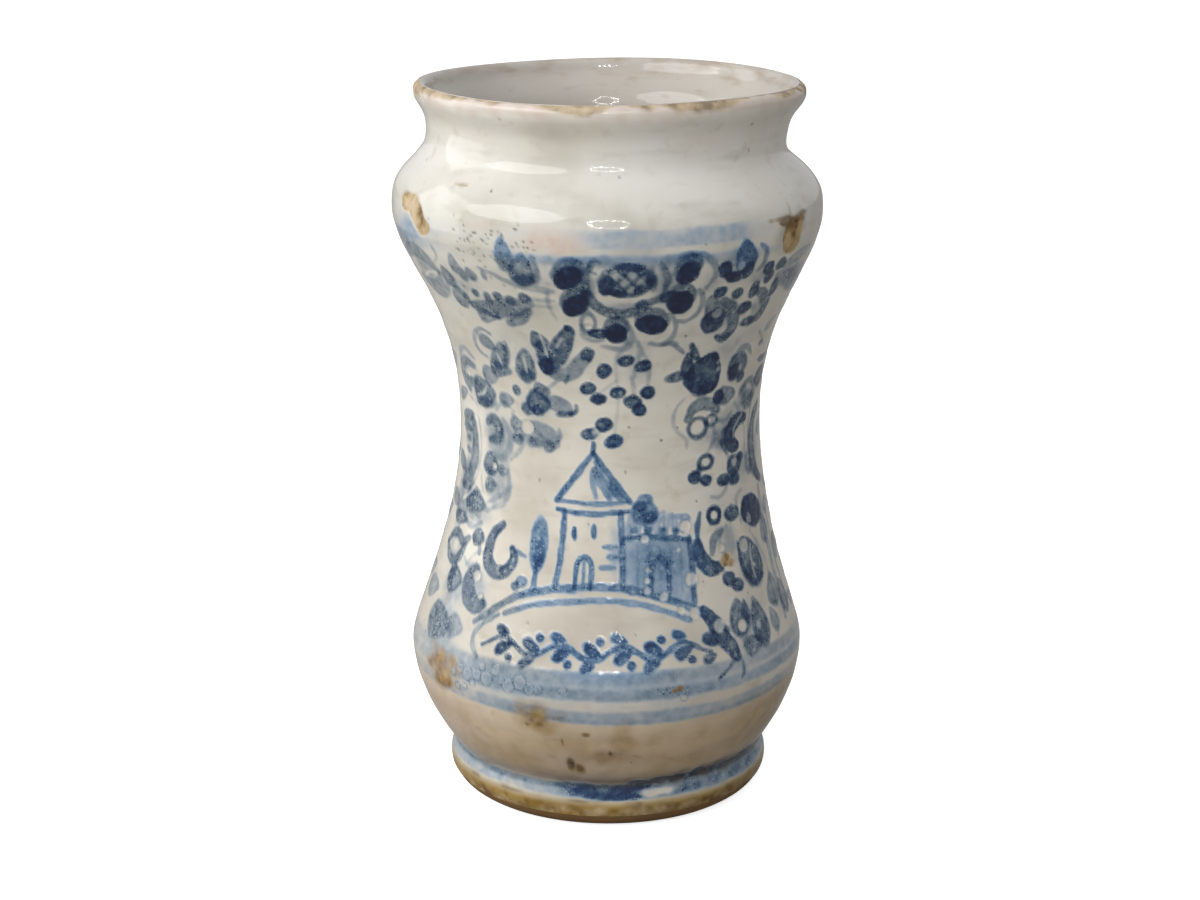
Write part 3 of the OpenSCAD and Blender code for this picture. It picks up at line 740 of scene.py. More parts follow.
# The picture on the front: a tower and a low wall with trees and a hedge, on a mound. The mound is the upper
# edge of a pale panel, and the wall's shade is brushed on in upright strokes.
MOUND = [
    (0.52, 2.2, [(-45, 63.5), (-39, 68), (-32, 72.8), (-24, 75.8), (-14, 77.8), (-3, 78.6), (8, 77.4),
                 (16, 75.2), (24, 72.4), (32, 68), (39, 62.5)]),
    (0.45, 1.8, [(-34, 68.2), (-25, 71.8), (-14, 73.8), (-2, 74.6), (9, 73.6), (18, 71), (26, 67.6)]),
    (0.38, 1.6, [(-36, 67.4), (-41, 64), (-44, 60.4), (-43.6, 57), (-41, 54.4)]),
]
TOWER = [
    (0.6, 1.8, [(-17.6, 77.5), (-16.6, 88), (-16.2, 100)]),
    (0.6, 1.8, [(4.6, 78), (4.2, 90), (3.8, 100)]), (0.6, 1.5, [(-19, 100.2), (-6, 99.4), (6.4, 100.2)]),
    (0.55, 1.3, [(-19, 103), (-6, 102.4), (6.4, 103)]),
    (0.62, 1.8, [(-19.4, 103), (-12, 111), (-6.2, 117.4)]),
    (0.62, 1.8, [(7, 103), (0, 110.6), (-6, 117.4)]), (0.42, 1.6, [(-5.4, 115), (-2, 109.5), (3.6, 104)]),
    (0.42, 1.6, [(-5.8, 113), (-3.6, 108.5), (-0.4, 104)]),
    (0.36, 1.4, [(-6.4, 112), (-6.4, 108.5), (-5, 104.4)]), (0.7, 1.2, [(-6, 117.4), (-6, 120.6)]),
    (0.7, 1.5, [(-11, 78), (-10.8, 84.6), (-8.4, 87), (-6, 84.6), (-5.8, 78)]),
    (0.5, 1.1, [(-8.4, 78.4), (-8.4, 86)]), (0.75, 1.6, [(-12.4, 92.2), (-12.4, 95)]),
    (0.75, 1.6, [(-5.6, 93), (-5.6, 95.8)]), (0.55, 1.1, [(-2.8, 84), (1.8, 84)]),
    (0.55, 1.1, [(-0.6, 87), (2.4, 87)]), (0.55, 1.1, [(-2.2, 90), (2.2, 90)]),
    (0.6, 1.7, [(5, 92.4), (13, 92.6), (22, 91.6), (28, 90.4)]),
    (0.62, 1.9, [(28.4, 91), (28.8, 82), (28.4, 72)]),
    (0.6, 1.5, [(14, 77), (14.2, 83.4), (17, 86.2), (19.8, 83), (20, 75.8)]),
    (0.6, 1.5, [(-25, 76.6), (-25, 82)]), (0.5, 1.2, [(12, 99), (12.4, 93)]),
]
WALL = [
    (16.6, 83, 20, 16, -6, 0.2), (1.8, 89, 5, 22, 0, 0.24), (1, 106.6, 7, 7, -30, 0.3),
    (-12, 76.6, 8, 2, 4, 0.3), (18, 87, 24, 16, 0, 0.14),
]
TREES = [
    (-25, 89.5, 6, 16, 0, 0.52), (-24.4, 86.5, 3.4, 9, 0, 0.6), (12.2, 99.6, 8, 7, 0, 0.5),
    (10.6, 101.6, 4, 3.4, 0, 0.6), (14.2, 98.2, 4, 3.6, 0, 0.66), (12.6, 103.6, 4.4, 3.4, 0, 0.55),
    (8.4, 94.6, 2.2, 2, 0, 0.6), (13.4, 94.6, 2.2, 2, 0, 0.6), (18.4, 94.2, 2.2, 2, 0, 0.6),
    (23.4, 93.4, 2.2, 2, 0, 0.6), (-29.6, 78, 4, 3.4, 0, 0.55), (-31.6, 76.4, 3, 2.8, 0, 0.6),
]
for touch in WALL:
    wash(*touch)
WALL_STROKES = 6
for k in range(WALL_STROKES):
    at = 7.4 + 3.8 * k
    stroke(0.27, 3.9, [(at, 90.8 - 0.2 * k), (at + 0.3, 84), (at, 77.6 - 0.8 * k)], light=0.1, taper=0.1)
for tone, width, path in MOUND + TOWER:
    stroke(tone + 0.08, width, path, light=0.3, taper=0.15)
for touch in TREES:
    dab(*touch)
HEDGE_STEMS = 7
for k in range(HEDGE_STEMS):
    at = 6.5 + 3.3 * k
    stroke(0.34, 2.4, [(at, 93), (at + 0.4, 97), (at + 2.6, 102 - 0.9 * k)], light=0.4, taper=0.5)

# The panel under the mound: it is left pale and holds a running vine, with leaves and a berry in each of the
# vine's hollows.
VINE_UP = 59.8
VINE_WAVE = 18.4
vine = [(a, VINE_UP + 2 * math.sin(2 * math.pi * a / VINE_WAVE)) for a in np.linspace(-40, 32, 26)]
stroke(0.72, 1.8, vine, taper=0.4)
for k in range(-4, 4):
    at, way = (k + 0.5) * VINE_WAVE / 2, (-1) ** k
    dab(at, VINE_UP - 0.9 * way, 6.2, 3.4, 28 * way, 0.84, light=0.2, tip=0.3)
    dab(at + 2.4, VINE_UP - 3.4 * way, 2.6, 2.4, 0, 0.86)
    dab(at - 1, VINE_UP + 3.9 * way, 5, 2.7, -16 * way, 0.78, light=0.2, tip=0.3)

# The sprig: it stands behind, where the front has its picture, with one open flower on its stem and three
# buds on its side shoots.
SPRIG_AT = 180
FLOWER_UP = 106
FLOWER_PETALS = 6
SPRIG = [
    (0.55, 1.7, [(0, 58), (1.4, 70), (-1, 84), (0, 99)]), (0.46, 1.3, [(0.6, 66), (-8, 75), (-14, 88)]),
    (0.46, 1.3, [(0.8, 72), (9, 81), (14, 94)]), (0.42, 1.2, [(-0.6, 84), (-6, 92), (-8.4, 102)]),
    (0.36, 1.1, [(-8, 75), (-14, 76), (-19, 80)]), (0.36, 1.1, [(9, 81), (15, 82), (20, 86)]),
]
SPRIG_LEAVES = [
    (-6, 66, 9, 4.8, 24, 0.5), (7, 69, 9, 4.8, -24, 0.5), (-14, 82, 7.4, 4.2, 50, 0.48),
    (7, 87, 7.4, 4.2, -50, 0.5), (-5, 79, 6.4, 3.8, 40, 0.46), (15, 87, 6, 3.6, -60, 0.44),
    (-20, 81.6, 6.4, 4, 20, 0.42), (21, 88, 6.4, 4, -20, 0.42),
]
SPRIG_BUDS = [
    (-14.4, 90.6, 4.8, 6, 12), (14.6, 96.8, 4.8, 6, -14), (-8.8, 104.6, 4.4, 5.4, 8),
]
for tone, width, path in SPRIG:
    stroke(tone, width, moved(path, SPRIG_AT))
for at, up, *rest in SPRIG_LEAVES:
    dab(SPRIG_AT + at, up, *rest, light=0.5, tip=0.3)
for at, up, wide, tall, tilt in SPRIG_BUDS:
    wash(SPRIG_AT + at, up + 1, wide + 5, tall + 5, 0, 0.2)
    dab(SPRIG_AT + at, up, wide, tall, tilt, 0.88, light=0.1)
wash(SPRIG_AT, FLOWER_UP, 22, 20, 0, 0.22)
for k in range(FLOWER_PETALS):
    a = 2 * math.pi * k / FLOWER_PETALS
    dab(SPRIG_AT + 6.6 * math.sin(a), FLOWER_UP + 5.6 * math.cos(a), 5, 5.4, -math.degrees(a), 0.9, light=0.1)
ring(SPRIG_AT, FLOWER_UP, 6, 6, 1.2, 0.6)
dab(SPRIG_AT, FLOWER_UP, 2.6, 2.6, 0, 0.6)

# The blue is clearer in the picture, in the bands and in one leaf of the garland.
azure += soft(np.hypot(((angle - 1) / 33), (height - 86) / 36) * 30 - 30, 4)
azure = np.maximum(azure, 0.35 * soft(height - belly_high + 2, 3))
azure = np.maximum(azure, soft(shoulder_low + 1 - height, 2))
azure = np.maximum(azure, soft(np.hypot((angle - 38) * 1.1, height - 177) - 5, 2))

# Wear: glaze knocked off to the clay, pinholes and popped blisters from the kiln, brown stains, dirt in the
# groove of the foot, which painted shade darkens too, and a rim rubbed bare by use. What is lost is sunk
# into the surface as well as coloured.
bare = np.zeros(len(places))
stain = np.zeros(len(places))
blush = np.zeros(len(places))
grime_and_shade = np.zeros(len(places))
pits = np.zeros(len(places))
relief = 0.13 * cobalt * (1 + 0.7 * mottle) + 0.05 * clouds(9, 60.1)
ragged = clouds(4.5, 17.7)


def blot(values, at, up, wide, tall, depth, edge=0.5):
    """Spreads a ragged patch over a field of values, soft over a share of its half height."""
    found, distance = oval(at, up, wide, tall, 0)
    half = min(wide, tall) / 2
    fresh = depth * soft(distance + 0.35 * half * (1 + ragged[found]) + 0.5 * waver[found], edge * half)
    values[found] = np.maximum(values[found], fresh * (1 + 0.3 * mottle[found]))


# A chip is (degrees, height, wide, tall, tilt), and a patch (degrees, height, wide, tall, depth).
CHIPS = [
    (-63, 188, 14, 5.8, -6), (-58.4, 185.6, 11, 7.4, -35), (-55.6, 183, 8, 6, -30),
    (55.8, 179.6, 11, 10, 0), (56.4, 183, 9, 3.4, 5), (43.2, 82, 4.8, 4.2, 20), (45.2, 81, 3.2, 2.6, 0),
    (157, 184, 8, 5, 20), (160.6, 182.6, 5, 4, 0), (153.6, 185.4, 4, 3, 0), (-141, 61, 5, 4, 0),
    (-138.6, 60, 4, 3, 30),
]
for at, up, wide, tall, tilt in CHIPS:
    found, distance = oval(at, up, wide, tall, tilt)
    bare[found] = np.maximum(bare[found], soft(distance + 0.7 * ragged[found] + 0.5 * waver[found], 0.35))
# Painted shade: the broad stain over the chip at 55 degrees on the shoulder also darkens it as shade.
STAINS = [
    (-20, 39.4, 18, 13, 0.9), (-9, 24, 10, 5, 0.3), (-1, 26.4, 24, 8, 0.7), (4.6, 33, 10, 14, 0.6),
    (-60, 33, 36, 12, 0.25), (54.6, 181.6, 18, 14, 0.6), (47, 185.6, 10, 1.5, 0.8),
    (60, 185.8, 9, 1.4, 0.8), (54, 187, 1.6, 6, 0.7), (-43, 196, 6, 1.2, 0.6), (46, 44.5, 9, 4, 0.4),
    (30, 24, 20, 8, 0.35), (19, 48.4, 1.8, 1.6, 0.9), (160, 181, 15, 12, 0.45), (-138, 45, 20, 12, 0.8),
    (120, 30, 30, 16, 0.4), (-100, 28, 24, 10, 0.4),
]
for touch in STAINS:
    blot(stain, *touch)
smoked = soft(np.abs(turned(78)) - 34 + 6 * drift, 26) * soft(np.abs(height - 30) - 10, 5)
stain = np.maximum(stain, np.clip(0.74 + 0.3 * ragged, 0, 1) * smoked)
SCORCHES = [
    (-55.5, 47.2, 25, 17, 0.85), (-55, 43.4, 19, 7, 1.0), (-138, 46, 16, 10, 0.7),
]
for touch in SCORCHES:
    blot(stain, *touch, edge=0.25)
    blot(blush, *touch[:4], 0.9, edge=0.25)
# Painted shade: the first crusts, over the chip at 55 degrees, also darken it as shade.
CRUSTS = [
    (55, 184.8, 19, 4.4, 0.3), (53.6, 183.4, 7, 4.4, 0.5), (50.6, 184.2, 5, 1.8, 0.3),
    (59, 184.8, 5, 1.8, 0.3), (-11.4, 23, 3.4, 7.4, 0.4), (-8.6, 21.6, 4.6, 5.6, 0.4),
    (-21, 40, 3.4, 2.6, 0.15), (-19, 37.8, 2.8, 3.4, 0.15), (-23, 36.8, 3, 2.4, 0.1),
    (1, 28.2, 1.8, 2.6, 0.4), (-5.6, 35, 3.4, 2.2, 0.2), (-13, 32, 1.4, 4, 0.3), (21, 49, 2.6, 2.2, 0.2),
]
for touch in CRUSTS:
    blot(stain, *touch[:4], 1, edge=0.3)
    blot(grime_and_shade, *touch, edge=0.3)
BLUSHES = [
    (-13.6, 182.8, 25, 10.4, 0.9), (-10, 182.4, 8, 5, 0.9), (-4, 24, 40, 14, 0.4), (-60, 30, 40, 20, 0.4),
    (30, 208, 20, 8, 0.2), (-34, 186, 14, 4, 0.35), (150, 200, 24, 8, 0.3),
]
for touch in BLUSHES:
    blot(blush, *touch)
cobalt *= 1 - 0.8 * blush
kiln = np.random.default_rng(7)
PINHOLES = 70
STRAYS = 130
spots_at = np.concatenate([kiln.uniform(-42, -18, PINHOLES), kiln.uniform(-180, 180, STRAYS)])
spots_up = np.concatenate([kiln.normal(181, 3.2, PINHOLES), kiln.uniform(18, 216, STRAYS)])
for at, up, across in zip(spots_at, spots_up, kiln.uniform(0.25, 0.75, len(spots_at))):
    found, x, y = reach(at, up, 1.5, 1.5)
    pits[found] = np.maximum(pits[found], soft(np.hypot(x, y) - across / 2, 0.3))
DISCS = [
    (12, 92, 3.2), (27, 94.5, 4), (12.5, 77, 2.8), (18, 75, 3.4), (28, 79, 4.6), (28, 69.4, 4),
    (23.4, 70.6, 3), (36, 64.2, 4.6), (45, 62.4, 4), (-5.4, 124, 2.6), (-31.4, 123.6, 5),
    (-48.6, 76.2, 4), (-44.8, 70.8, 2.4), (53, 84.4, 5), (57, 78, 2), (41.5, 86, 3), (13, 83, 2.4),
    (12.6, 80, 2.4), (24, 88, 1.8), (-47.6, 109.4, 2.8), (-61.4, 136, 3), (-6.3, 157, 2.6),
]
for at, up, across in DISCS:
    found, distance = oval(at, up, across, across, 0)
    uneven = distance + 0.2 * waver[found]
    cobalt[found] *= 1 - 0.72 * soft(uneven + 0.3)
    lay(found, 0.24 * soft(np.abs(uneven) - 0.15, 0.4))
    blush[found] = np.maximum(blush[found], 0.12 * soft(uneven + 0.3))
    relief[found] += 0.2 * soft(np.abs(uneven) - 0.25, 0.4) - 0.12 * soft(uneven + 0.4)
BLISTERS = [
    (-46.4, 49.4, 2.6), (-43, 48.5, 3.6), (-39.6, 49.2, 3.2), (-36, 49, 3.8), (-33.2, 52, 2.8),
    (-28.6, 48.2, 3.6), (-25, 49.8, 3.8), (-22, 48.4, 3), (-19.4, 48.6, 2.4), (-41, 46.4, 2),
    (-31, 49.4, 2), (-49, 47.6, 2), (-52, 42.6, 1.8), (-47, 43.6, 2), (-44, 44.4, 1.6), (-38, 52, 2),
    (22, 46, 1.8), (-12, 49, 1.8),
]
for at, up, across in BLISTERS:
    found, distance = oval(at, up, across, across, 0)
    uneven = distance + 0.12 * waver[found]
    cobalt[found] *= 1 - 0.3 * soft(np.abs(uneven + 0.3) - 0.2, 0.3)
    lay(found, 0.32 * soft(np.abs(uneven - 0.25) - 0.1, 0.3))
    relief[found] += 0.24 * soft(np.abs(uneven + 0.3) - 0.2, 0.35)
    relief[found] -= 0.1 * soft(np.abs(uneven - 0.3) - 0.1, 0.3)
from_crest = np.hypot(radius - crest[0], height - crest[1])
near_crest = height > crest[1] - 12
rubbed = 0.9 * ragged + 0.5 * waver
# A rubbed stretch of the rim is (degrees, spread in degrees, depth).
RUBS = [
    (-9, 11, 3.7), (10, 5, 2.6), (27, 14, 3.7), (-36, 6, 1.8), (-54, 10, 3), (-68, 9, 3.4),
    (-82, 16, 4.4), (62, 8, 3), (84, 15, 4), (150, 30, 2.4), (-140, 24, 2.6),
]
for at, spread, deep in RUBS:
    rubbed = np.maximum(rubbed, deep * np.exp(-(turned(at) / spread) ** 4) + 0.6 * ragged + 0.7 * waver - 0.4)
bare = np.maximum(bare, 0.8 * soft(from_crest - np.clip(rubbed, 0, 5), 0.6) * near_crest)
blush = np.maximum(blush, 0.75 * soft(from_crest - 3.6 - 2 * ragged - 0.6 * waver, 1.8) * near_crest)

# The foot: a blue line was run round its groove, thick in places and wiped in others, where dirt has stayed
# and painted shade darkens it. Below it the glaze ends in a ragged line, and the clay under it is stained
# brown. Groove and foot both grow darker towards the right, which is painted shade.
FOOT_POOLS = [(11, 15.2, 7, 2.4), (18.6, 16, 6, 2.2), (25, 15.4, 5, 3), (33, 16.4, 5, 4)]
FOOT_STROKES = [
    (0.34, 1.4, [(-88, 13.4), (-60, 13.8), (-34, 13.2), (-8, 14)]),
    (0.7, 3, [(14, 15), (34, 15.6), (60, 15.2), (90, 14.6)]),
    (0.34, 1.6, [(22, 11.4), (50, 11.8), (88, 11.4)]),
]
for turn in (0, 180):
    dab(2 + turn, 12.2, 26, 5, 0, 0.8, light=0.1)
    dab(-8 + turn, 13.4, 17, 3.4, -3, 0.55)
    dab(12 + turn, 13, 10, 3.4, 0, 0.7)
    for at, up, wide, tall in FOOT_POOLS:
        dab(at + turn, up, wide, tall, 0, 0.9, light=0.1)
    for tone, width, path in FOOT_STROKES:
        stroke(tone, width, moved(path, turn))
band(band_low + 0.6, band_high + 0.4, 0.5, 2.7, 26, 42, 0.5)
drips = clouds(5.5, 88.8) + 0.5 * drift + 0.25 * waver
groove = (band_low + band_high) / 2
on_groove = soft(np.abs(height - groove) - 2.6, 1.6)
pooled = on_groove * soft(0.28 - drips, 0.3)
cobalt *= 1 - 0.36 * pooled
relief += 0.2 * pooled
for at in (17, 196):
    found, distance = oval(at, groove, 11, 2.6, 0)
    thick = soft(distance + 0.5 * ragged[found], 0.5)
    cobalt[found] *= 1 - 0.85 * thick
    relief[found] += 0.3 * thick
# Painted shade: the dark band over the groove and the foot's lower part grow darker towards the right.
toward_shaded_right = np.clip(1.3 * np.sin(np.radians(angle)) + 0.4 * ragged, 0, 1)
# Painted shade with dirt: the band over the groove, under the belly's bulge, is darkened.
above_groove = soft(np.abs(height - band_high - 1.2 - 0.8 * ragged - toward_shaded_right) - 1.8 - toward_shaded_right, 1.6)
side = 0.54 + 0.36 * np.sin(np.radians(angle - 20)) + 0.5 * drips
grime_and_shade = np.maximum(grime_and_shade, above_groove * np.clip(side, 0.25, 1))
below_groove = soft(np.abs(height - band_low - 0.4 * ragged) - 0.5, 0.5)
grime_and_shade = np.maximum(grime_and_shade, 0.5 * below_groove * soft(0.2 - drips, 0.4))
SCRATCHES = 60
scratched_at = kiln.uniform(-180, 180, SCRATCHES)
scratched_up = kiln.uniform(18, 40, SCRATCHES)
runs = kiln.uniform(1, 6, SCRATCHES)
slants = kiln.normal(0, 1.4, SCRATCHES)
for at, up, run, slant in zip(scratched_at, scratched_up, runs, slants):
    found, distance = along([(at, up), (at + run, up + slant)], 0.6, 0.6)
    stain[found] = np.maximum(stain[found], 0.5 * soft(distance + 0.4 * waver[found], 0.45))
glaze_line = 6.6 + 2 * ragged + 1.2 * np.sin(np.radians(angle) * 3 + 1) + 0.8 * waver
bare = np.maximum(bare, 0.85 * soft(height - glaze_line, 0.9))
# Painted shade: the stain on the foot's lower edge and the darkening below its glaze grow towards the right.
edge_stain_and_shade = np.clip(0.6 + 0.5 * np.sin(np.radians(angle)) + 0.3 * drips, 0, 1)
stain = np.maximum(stain, 0.9 * soft(height - 5 - 1.2 * ragged, 1.6) * edge_stain_and_shade)
grime_and_shade = np.maximum(grime_and_shade, 0.34 * soft(height - 9 - ragged, 1.2) * toward_shaded_right)
stain = np.maximum(stain, soft(height - 7.8 - ragged, 1) * (0.25 + 0.75 * soft(0.1 - clouds(3.4, 12.6), 0.3)))
relief -= 0.24 * bare + 0.2 * pits
cobalt *= 1 - bare

# Tin glaze: a glossy, slightly uneven coat, ivory on the body, greyer at the neck, and stained tan low down.
# Its tone by height also holds painted shade in the groove above the foot and at the shoulder, and painted
# light at the neck.
# Cobalt shows from a grey wash to navy by how much lies in it, mottled, and flecked where the glaze boiled.
tin_glaze, tree = new_material("painted_tin_glaze")
spots = add_node(tree, "TexCoord").outputs["Object"]
flat_spots = add_node(tree, "Mapping", {"Vector": spots, "Scale": (1, 1, 4)})
up = add_node(tree, "SeparateXYZ", {"Vector": spots}).outputs["Z"]
layers = {
    "cobalt": cobalt, "azure": azure, "bare": bare, "stain": stain, "blush": blush, "grime_and_shade": grime_and_shade,
    "pits": pits,
}
here = {name: add_node(tree, "Attribute", attribute_name=name) for name in layers}
clots = add_node(tree, "TexNoise", {"Vector": spots, "Scale": 1 / (30 * MM), "Detail": 3.0})
smears = add_node(tree, "TexNoise", {"Vector": flat_spots, "Scale": 1 / (16 * MM), "Detail": 5.0})
smudges = add_node(tree, "TexNoise", {"Vector": spots, "Scale": 1 / (9 * MM), "Detail": 8.0})
specks = add_node(tree, "TexNoise", {"Vector": spots, "Scale": 1 / (5 * MM), "Detail": 8.0})
dust = add_node(tree, "TexNoise", {"Vector": spots, "Scale": 1 / (2.6 * MM), "Detail": 5.0})

# The ground, from the foot to the lip, with its cloudy, smeared and smudged tones. Its ramp by height is
# darker in the groove and at the shoulder, and lighter at the neck than at the shoulder, as painted shade and
# light.
share = add_node(tree, "Math", {0: up, 1: 1 / (top * MM)}, operation="MULTIPLY")
ivory_and_shade = add_node(tree, "ValToRGB", {"Fac": share}, stops=[
    (0.0, "#8E7038"), (0.036, "#AE9250"), (0.048, "#DED8CA"), (0.066, "#D4CDC0"), (0.076, "#A4968A"),
    (0.095, "#C2AC8C"), (0.14, "#CEB89A"), (0.18, "#D8C8B2"), (0.21, "#D8D1C5"), (0.28, "#D8D2C7"),
    (0.4, "#E6E1D6"), (0.6, "#E6E2D8"), (0.75, "#E0DED6"), (0.84, "#DCDAD2"), (0.92, "#E4E1DA"),
    (1.0, "#E4E0D8")])
clouded = add_node(tree, "ValToRGB", {"Fac": clots}, stops=[
    (0.3, "#BDB5A4"), (0.5, "#F2EEE6"), (0.72, "#FFFFFF")])
ground = add_node(tree, "Mix", {0: 0.5, 6: ivory_and_shade, 7: clouded}, data_type="RGBA", blend_type="MULTIPLY")
smear = add_node(tree, "MapRange", {
    "Value": smears, "From Min": 0.5, "From Max": 0.75, "To Max": 0.24}, interpolation_type="SMOOTHSTEP")
ground = add_node(tree, "Mix", {0: smear, 6: ground, 7: linear("#ABA18F")}, data_type="RGBA")
low = add_node(tree, "MapRange", {
    "Value": up, "From Min": 44 * MM, "From Max": 30 * MM}, interpolation_type="SMOOTHSTEP")
smudge = add_node(tree, "MapRange", {
    "Value": smudges, "From Min": 0.46, "From Max": 0.74, "To Max": 0.4}, interpolation_type="SMOOTHSTEP")
low_smudge = add_node(tree, "Math", {0: low, 1: smudge}, operation="MULTIPLY")
ground = add_node(tree, "Mix", {0: low_smudge, 6: ground, 7: linear("#9C8052")}, data_type="RGBA")
speck = add_node(tree, "MapRange", {
    "Value": specks, "From Min": 0.56, "From Max": 0.74, "To Max": 0.2}, interpolation_type="SMOOTHSTEP")
ground = add_node(tree, "Mix", {0: speck, 6: ground, 7: linear("#A59680")}, data_type="RGBA")
skin_tone = add_node(tree, "Mix", {0: dust, 6: linear("#CBB4A4"), 7: linear("#E2D5C9")}, data_type="RGBA")
ground = add_node(tree, "Mix", {0: here["blush"], 6: ground, 7: skin_tone}, data_type="RGBA")

# The cobalt: dark touches lie even, and paler ones are mottled and flecked with pale and dark spots.
uneven = add_node(tree, "MapRange", {
    "Value": here["cobalt"], "From Min": 0.97, "From Max": 0.7, "To Min": 0.4, "To Max": 1.1},
    interpolation_type="SMOOTHSTEP")
centred = add_node(tree, "Math", {0: dust, 1: 0.5}, operation="SUBTRACT")
patchy = add_node(tree, "Math", {0: centred, 1: uneven, 2: 1.0}, operation="MULTIPLY_ADD")
cells = add_node(tree, "TexVoronoi", {"Vector": spots, "Scale": 1 / (0.9 * MM)})
chance = add_node(tree, "SeparateColor", {"Color": cells.outputs["Color"]}).outputs["Red"]
fleck = add_node(tree, "MapRange", {
    "Value": cells.outputs["Distance"], "From Min": 0.46, "From Max": 0.2}, interpolation_type="SMOOTHSTEP")
is_pale = add_node(tree, "Math", {0: chance, 1: 0.6}, operation="GREATER_THAN")
is_dark = add_node(tree, "Math", {0: chance, 1: 0.24}, operation="LESS_THAN")
pale_fleck = add_node(tree, "Math", {0: fleck, 1: is_pale}, operation="MULTIPLY")
dark_fleck = add_node(tree, "Math", {0: fleck, 1: is_dark}, operation="MULTIPLY")
bubbles = add_node(tree, "TexVoronoi", {"Vector": spots, "Scale": 1 / (2 * MM)})
bubble_chance = add_node(tree, "SeparateColor", {"Color": bubbles.outputs["Color"]}).outputs["Red"]
bubble = add_node(tree, "MapRange", {
    "Value": bubbles.outputs["Distance"], "From Min": 0.42, "From Max": 0.24},
    interpolation_type="SMOOTHSTEP")
is_bubble = add_node(tree, "Math", {0: bubble_chance, 1: 0.55}, operation="GREATER_THAN")
bubble = add_node(tree, "Math", {0: bubble, 1: is_bubble}, operation="MULTIPLY")
thinned = add_node(tree, "Math", {0: pale_fleck, 1: bubble}, operation="MAXIMUM")
thinned = add_node(tree, "Math", {0: thinned, 1: -0.36}, operation="MULTIPLY")
flecked = add_node(tree, "Math", {0: dark_fleck, 1: 0.6, 2: thinned}, operation="MULTIPLY_ADD")
not_dark = add_node(tree, "MapRange", {
    "Value": here["cobalt"], "From Min": 0.96, "From Max": 0.74, "To Min": 0.05},
    interpolation_type="SMOOTHSTEP")
not_thin = add_node(tree, "MapRange", {
    "Value": here["cobalt"], "From Min": 0.36, "From Max": 0.5}, interpolation_type="SMOOTHSTEP")
boiled = add_node(tree, "MapRange", {
    "Value": smudges, "From Min": 0.4, "From Max": 0.56, "To Min": 0.45}, interpolation_type="SMOOTHSTEP")
fizz = add_node(tree, "Math", {0: not_dark, 1: not_thin}, operation="MULTIPLY")
fizz = add_node(tree, "Math", {0: fizz, 1: boiled}, operation="MULTIPLY")
speckle = add_node(tree, "Math", {0: flecked, 1: fizz, 2: 1.0}, operation="MULTIPLY_ADD")
pigment = add_node(tree, "Math", {0: here["cobalt"], 1: patchy}, operation="MULTIPLY")
pigment = add_node(tree, "Math", {0: pigment, 1: speckle}, operation="MULTIPLY", use_clamp=True)
grey_blue = add_node(tree, "ValToRGB", {"Fac": pigment}, stops=[
    (0.0, "#B9BCB9"), (0.3, "#9AA2A7"), (0.45, "#7A8790"), (0.6, "#576878"), (0.75, "#324C69"),
    (0.9, "#162E54"), (1.0, "#09183C")])
clear_blue = add_node(tree, "ValToRGB", {"Fac": pigment}, stops=[
    (0.0, "#B4C0CB"), (0.3, "#8FA3B8"), (0.45, "#708AA2"), (0.6, "#4E6E8E"), (0.75, "#33547A"),
    (0.9, "#1D3A62"), (1.0, "#10244A")])
blue = add_node(tree, "Mix", {0: here["azure"], 6: grey_blue, 7: clear_blue}, data_type="RGBA")
cover = add_node(tree, "MapRange", {
    "Value": pigment, "From Min": 0.0, "From Max": 0.3}, interpolation_type="SMOOTHSTEP")
painted = add_node(tree, "Mix", {0: cover, 6: ground, 7: blue}, data_type="RGBA")

# The clay where the glaze is gone, rust-brown stains, dark dirt that is partly painted shade in the foot's
# groove and on its right, and black pinholes.
clay_tone = add_node(tree, "ValToRGB", {"Fac": specks}, stops=[
    (0.36, "#745E3A"), (0.5, "#B49D76"), (0.64, "#CCB898")])
worn = add_node(tree, "Mix", {0: here["bare"], 6: painted, 7: clay_tone}, data_type="RGBA")
rust = add_node(tree, "ValToRGB", {"Fac": specks}, stops=[
    (0.36, "#634410"), (0.5, "#876620"), (0.64, "#A6853A")])
rusty = add_node(tree, "Math", {0: here["stain"], 1: 0.85}, operation="MULTIPLY")
worn = add_node(tree, "Mix", {0: rusty, 6: worn, 7: rust}, data_type="RGBA")
dirt_and_shade = add_node(tree, "Mix", {0: specks, 6: linear("#2C2620"), 7: linear("#584E42")}, data_type="RGBA")
dirt_and_shade = add_node(tree, "Mix", {0: here["stain"], 6: dirt_and_shade, 7: linear("#38220A")}, data_type="RGBA")
worn = add_node(tree, "Mix", {0: here["grime_and_shade"], 6: worn, 7: dirt_and_shade}, data_type="RGBA")
pricked = add_node(tree, "Math", {0: here["pits"], 1: 0.85}, operation="MULTIPLY")
worn = add_node(tree, "Mix", {0: pricked, 6: worn, 7: linear("#2A2622")}, data_type="RGBA")
dulled = add_node(tree, "Math", {0: here["blush"], 1: 0.25}, operation="MULTIPLY")
dulled = add_node(tree, "Math", {0: dulled, 1: here["bare"]}, operation="MAXIMUM")
gloss = add_node(tree, "MapRange", {"Value": dulled, "To Min": 0.07, "To Max": 0.85})
ripples = add_node(tree, "TexNoise", {"Vector": spots, "Scale": 1 / (6 * MM), "Detail": 2.0})
pores = add_node(tree, "TexNoise", {"Vector": spots, "Scale": 1 / (0.9 * MM), "Detail": 2.0})
peel = add_node(tree, "Math", {0: dust, 1: 0.14, 2: ripples}, operation="MULTIPLY_ADD")
peel = add_node(tree, "Math", {0: pores, 1: 0.12, 2: peel}, operation="MULTIPLY_ADD")
dimples = add_node(tree, "Math", {0: pale_fleck, 1: dark_fleck}, operation="ADD")
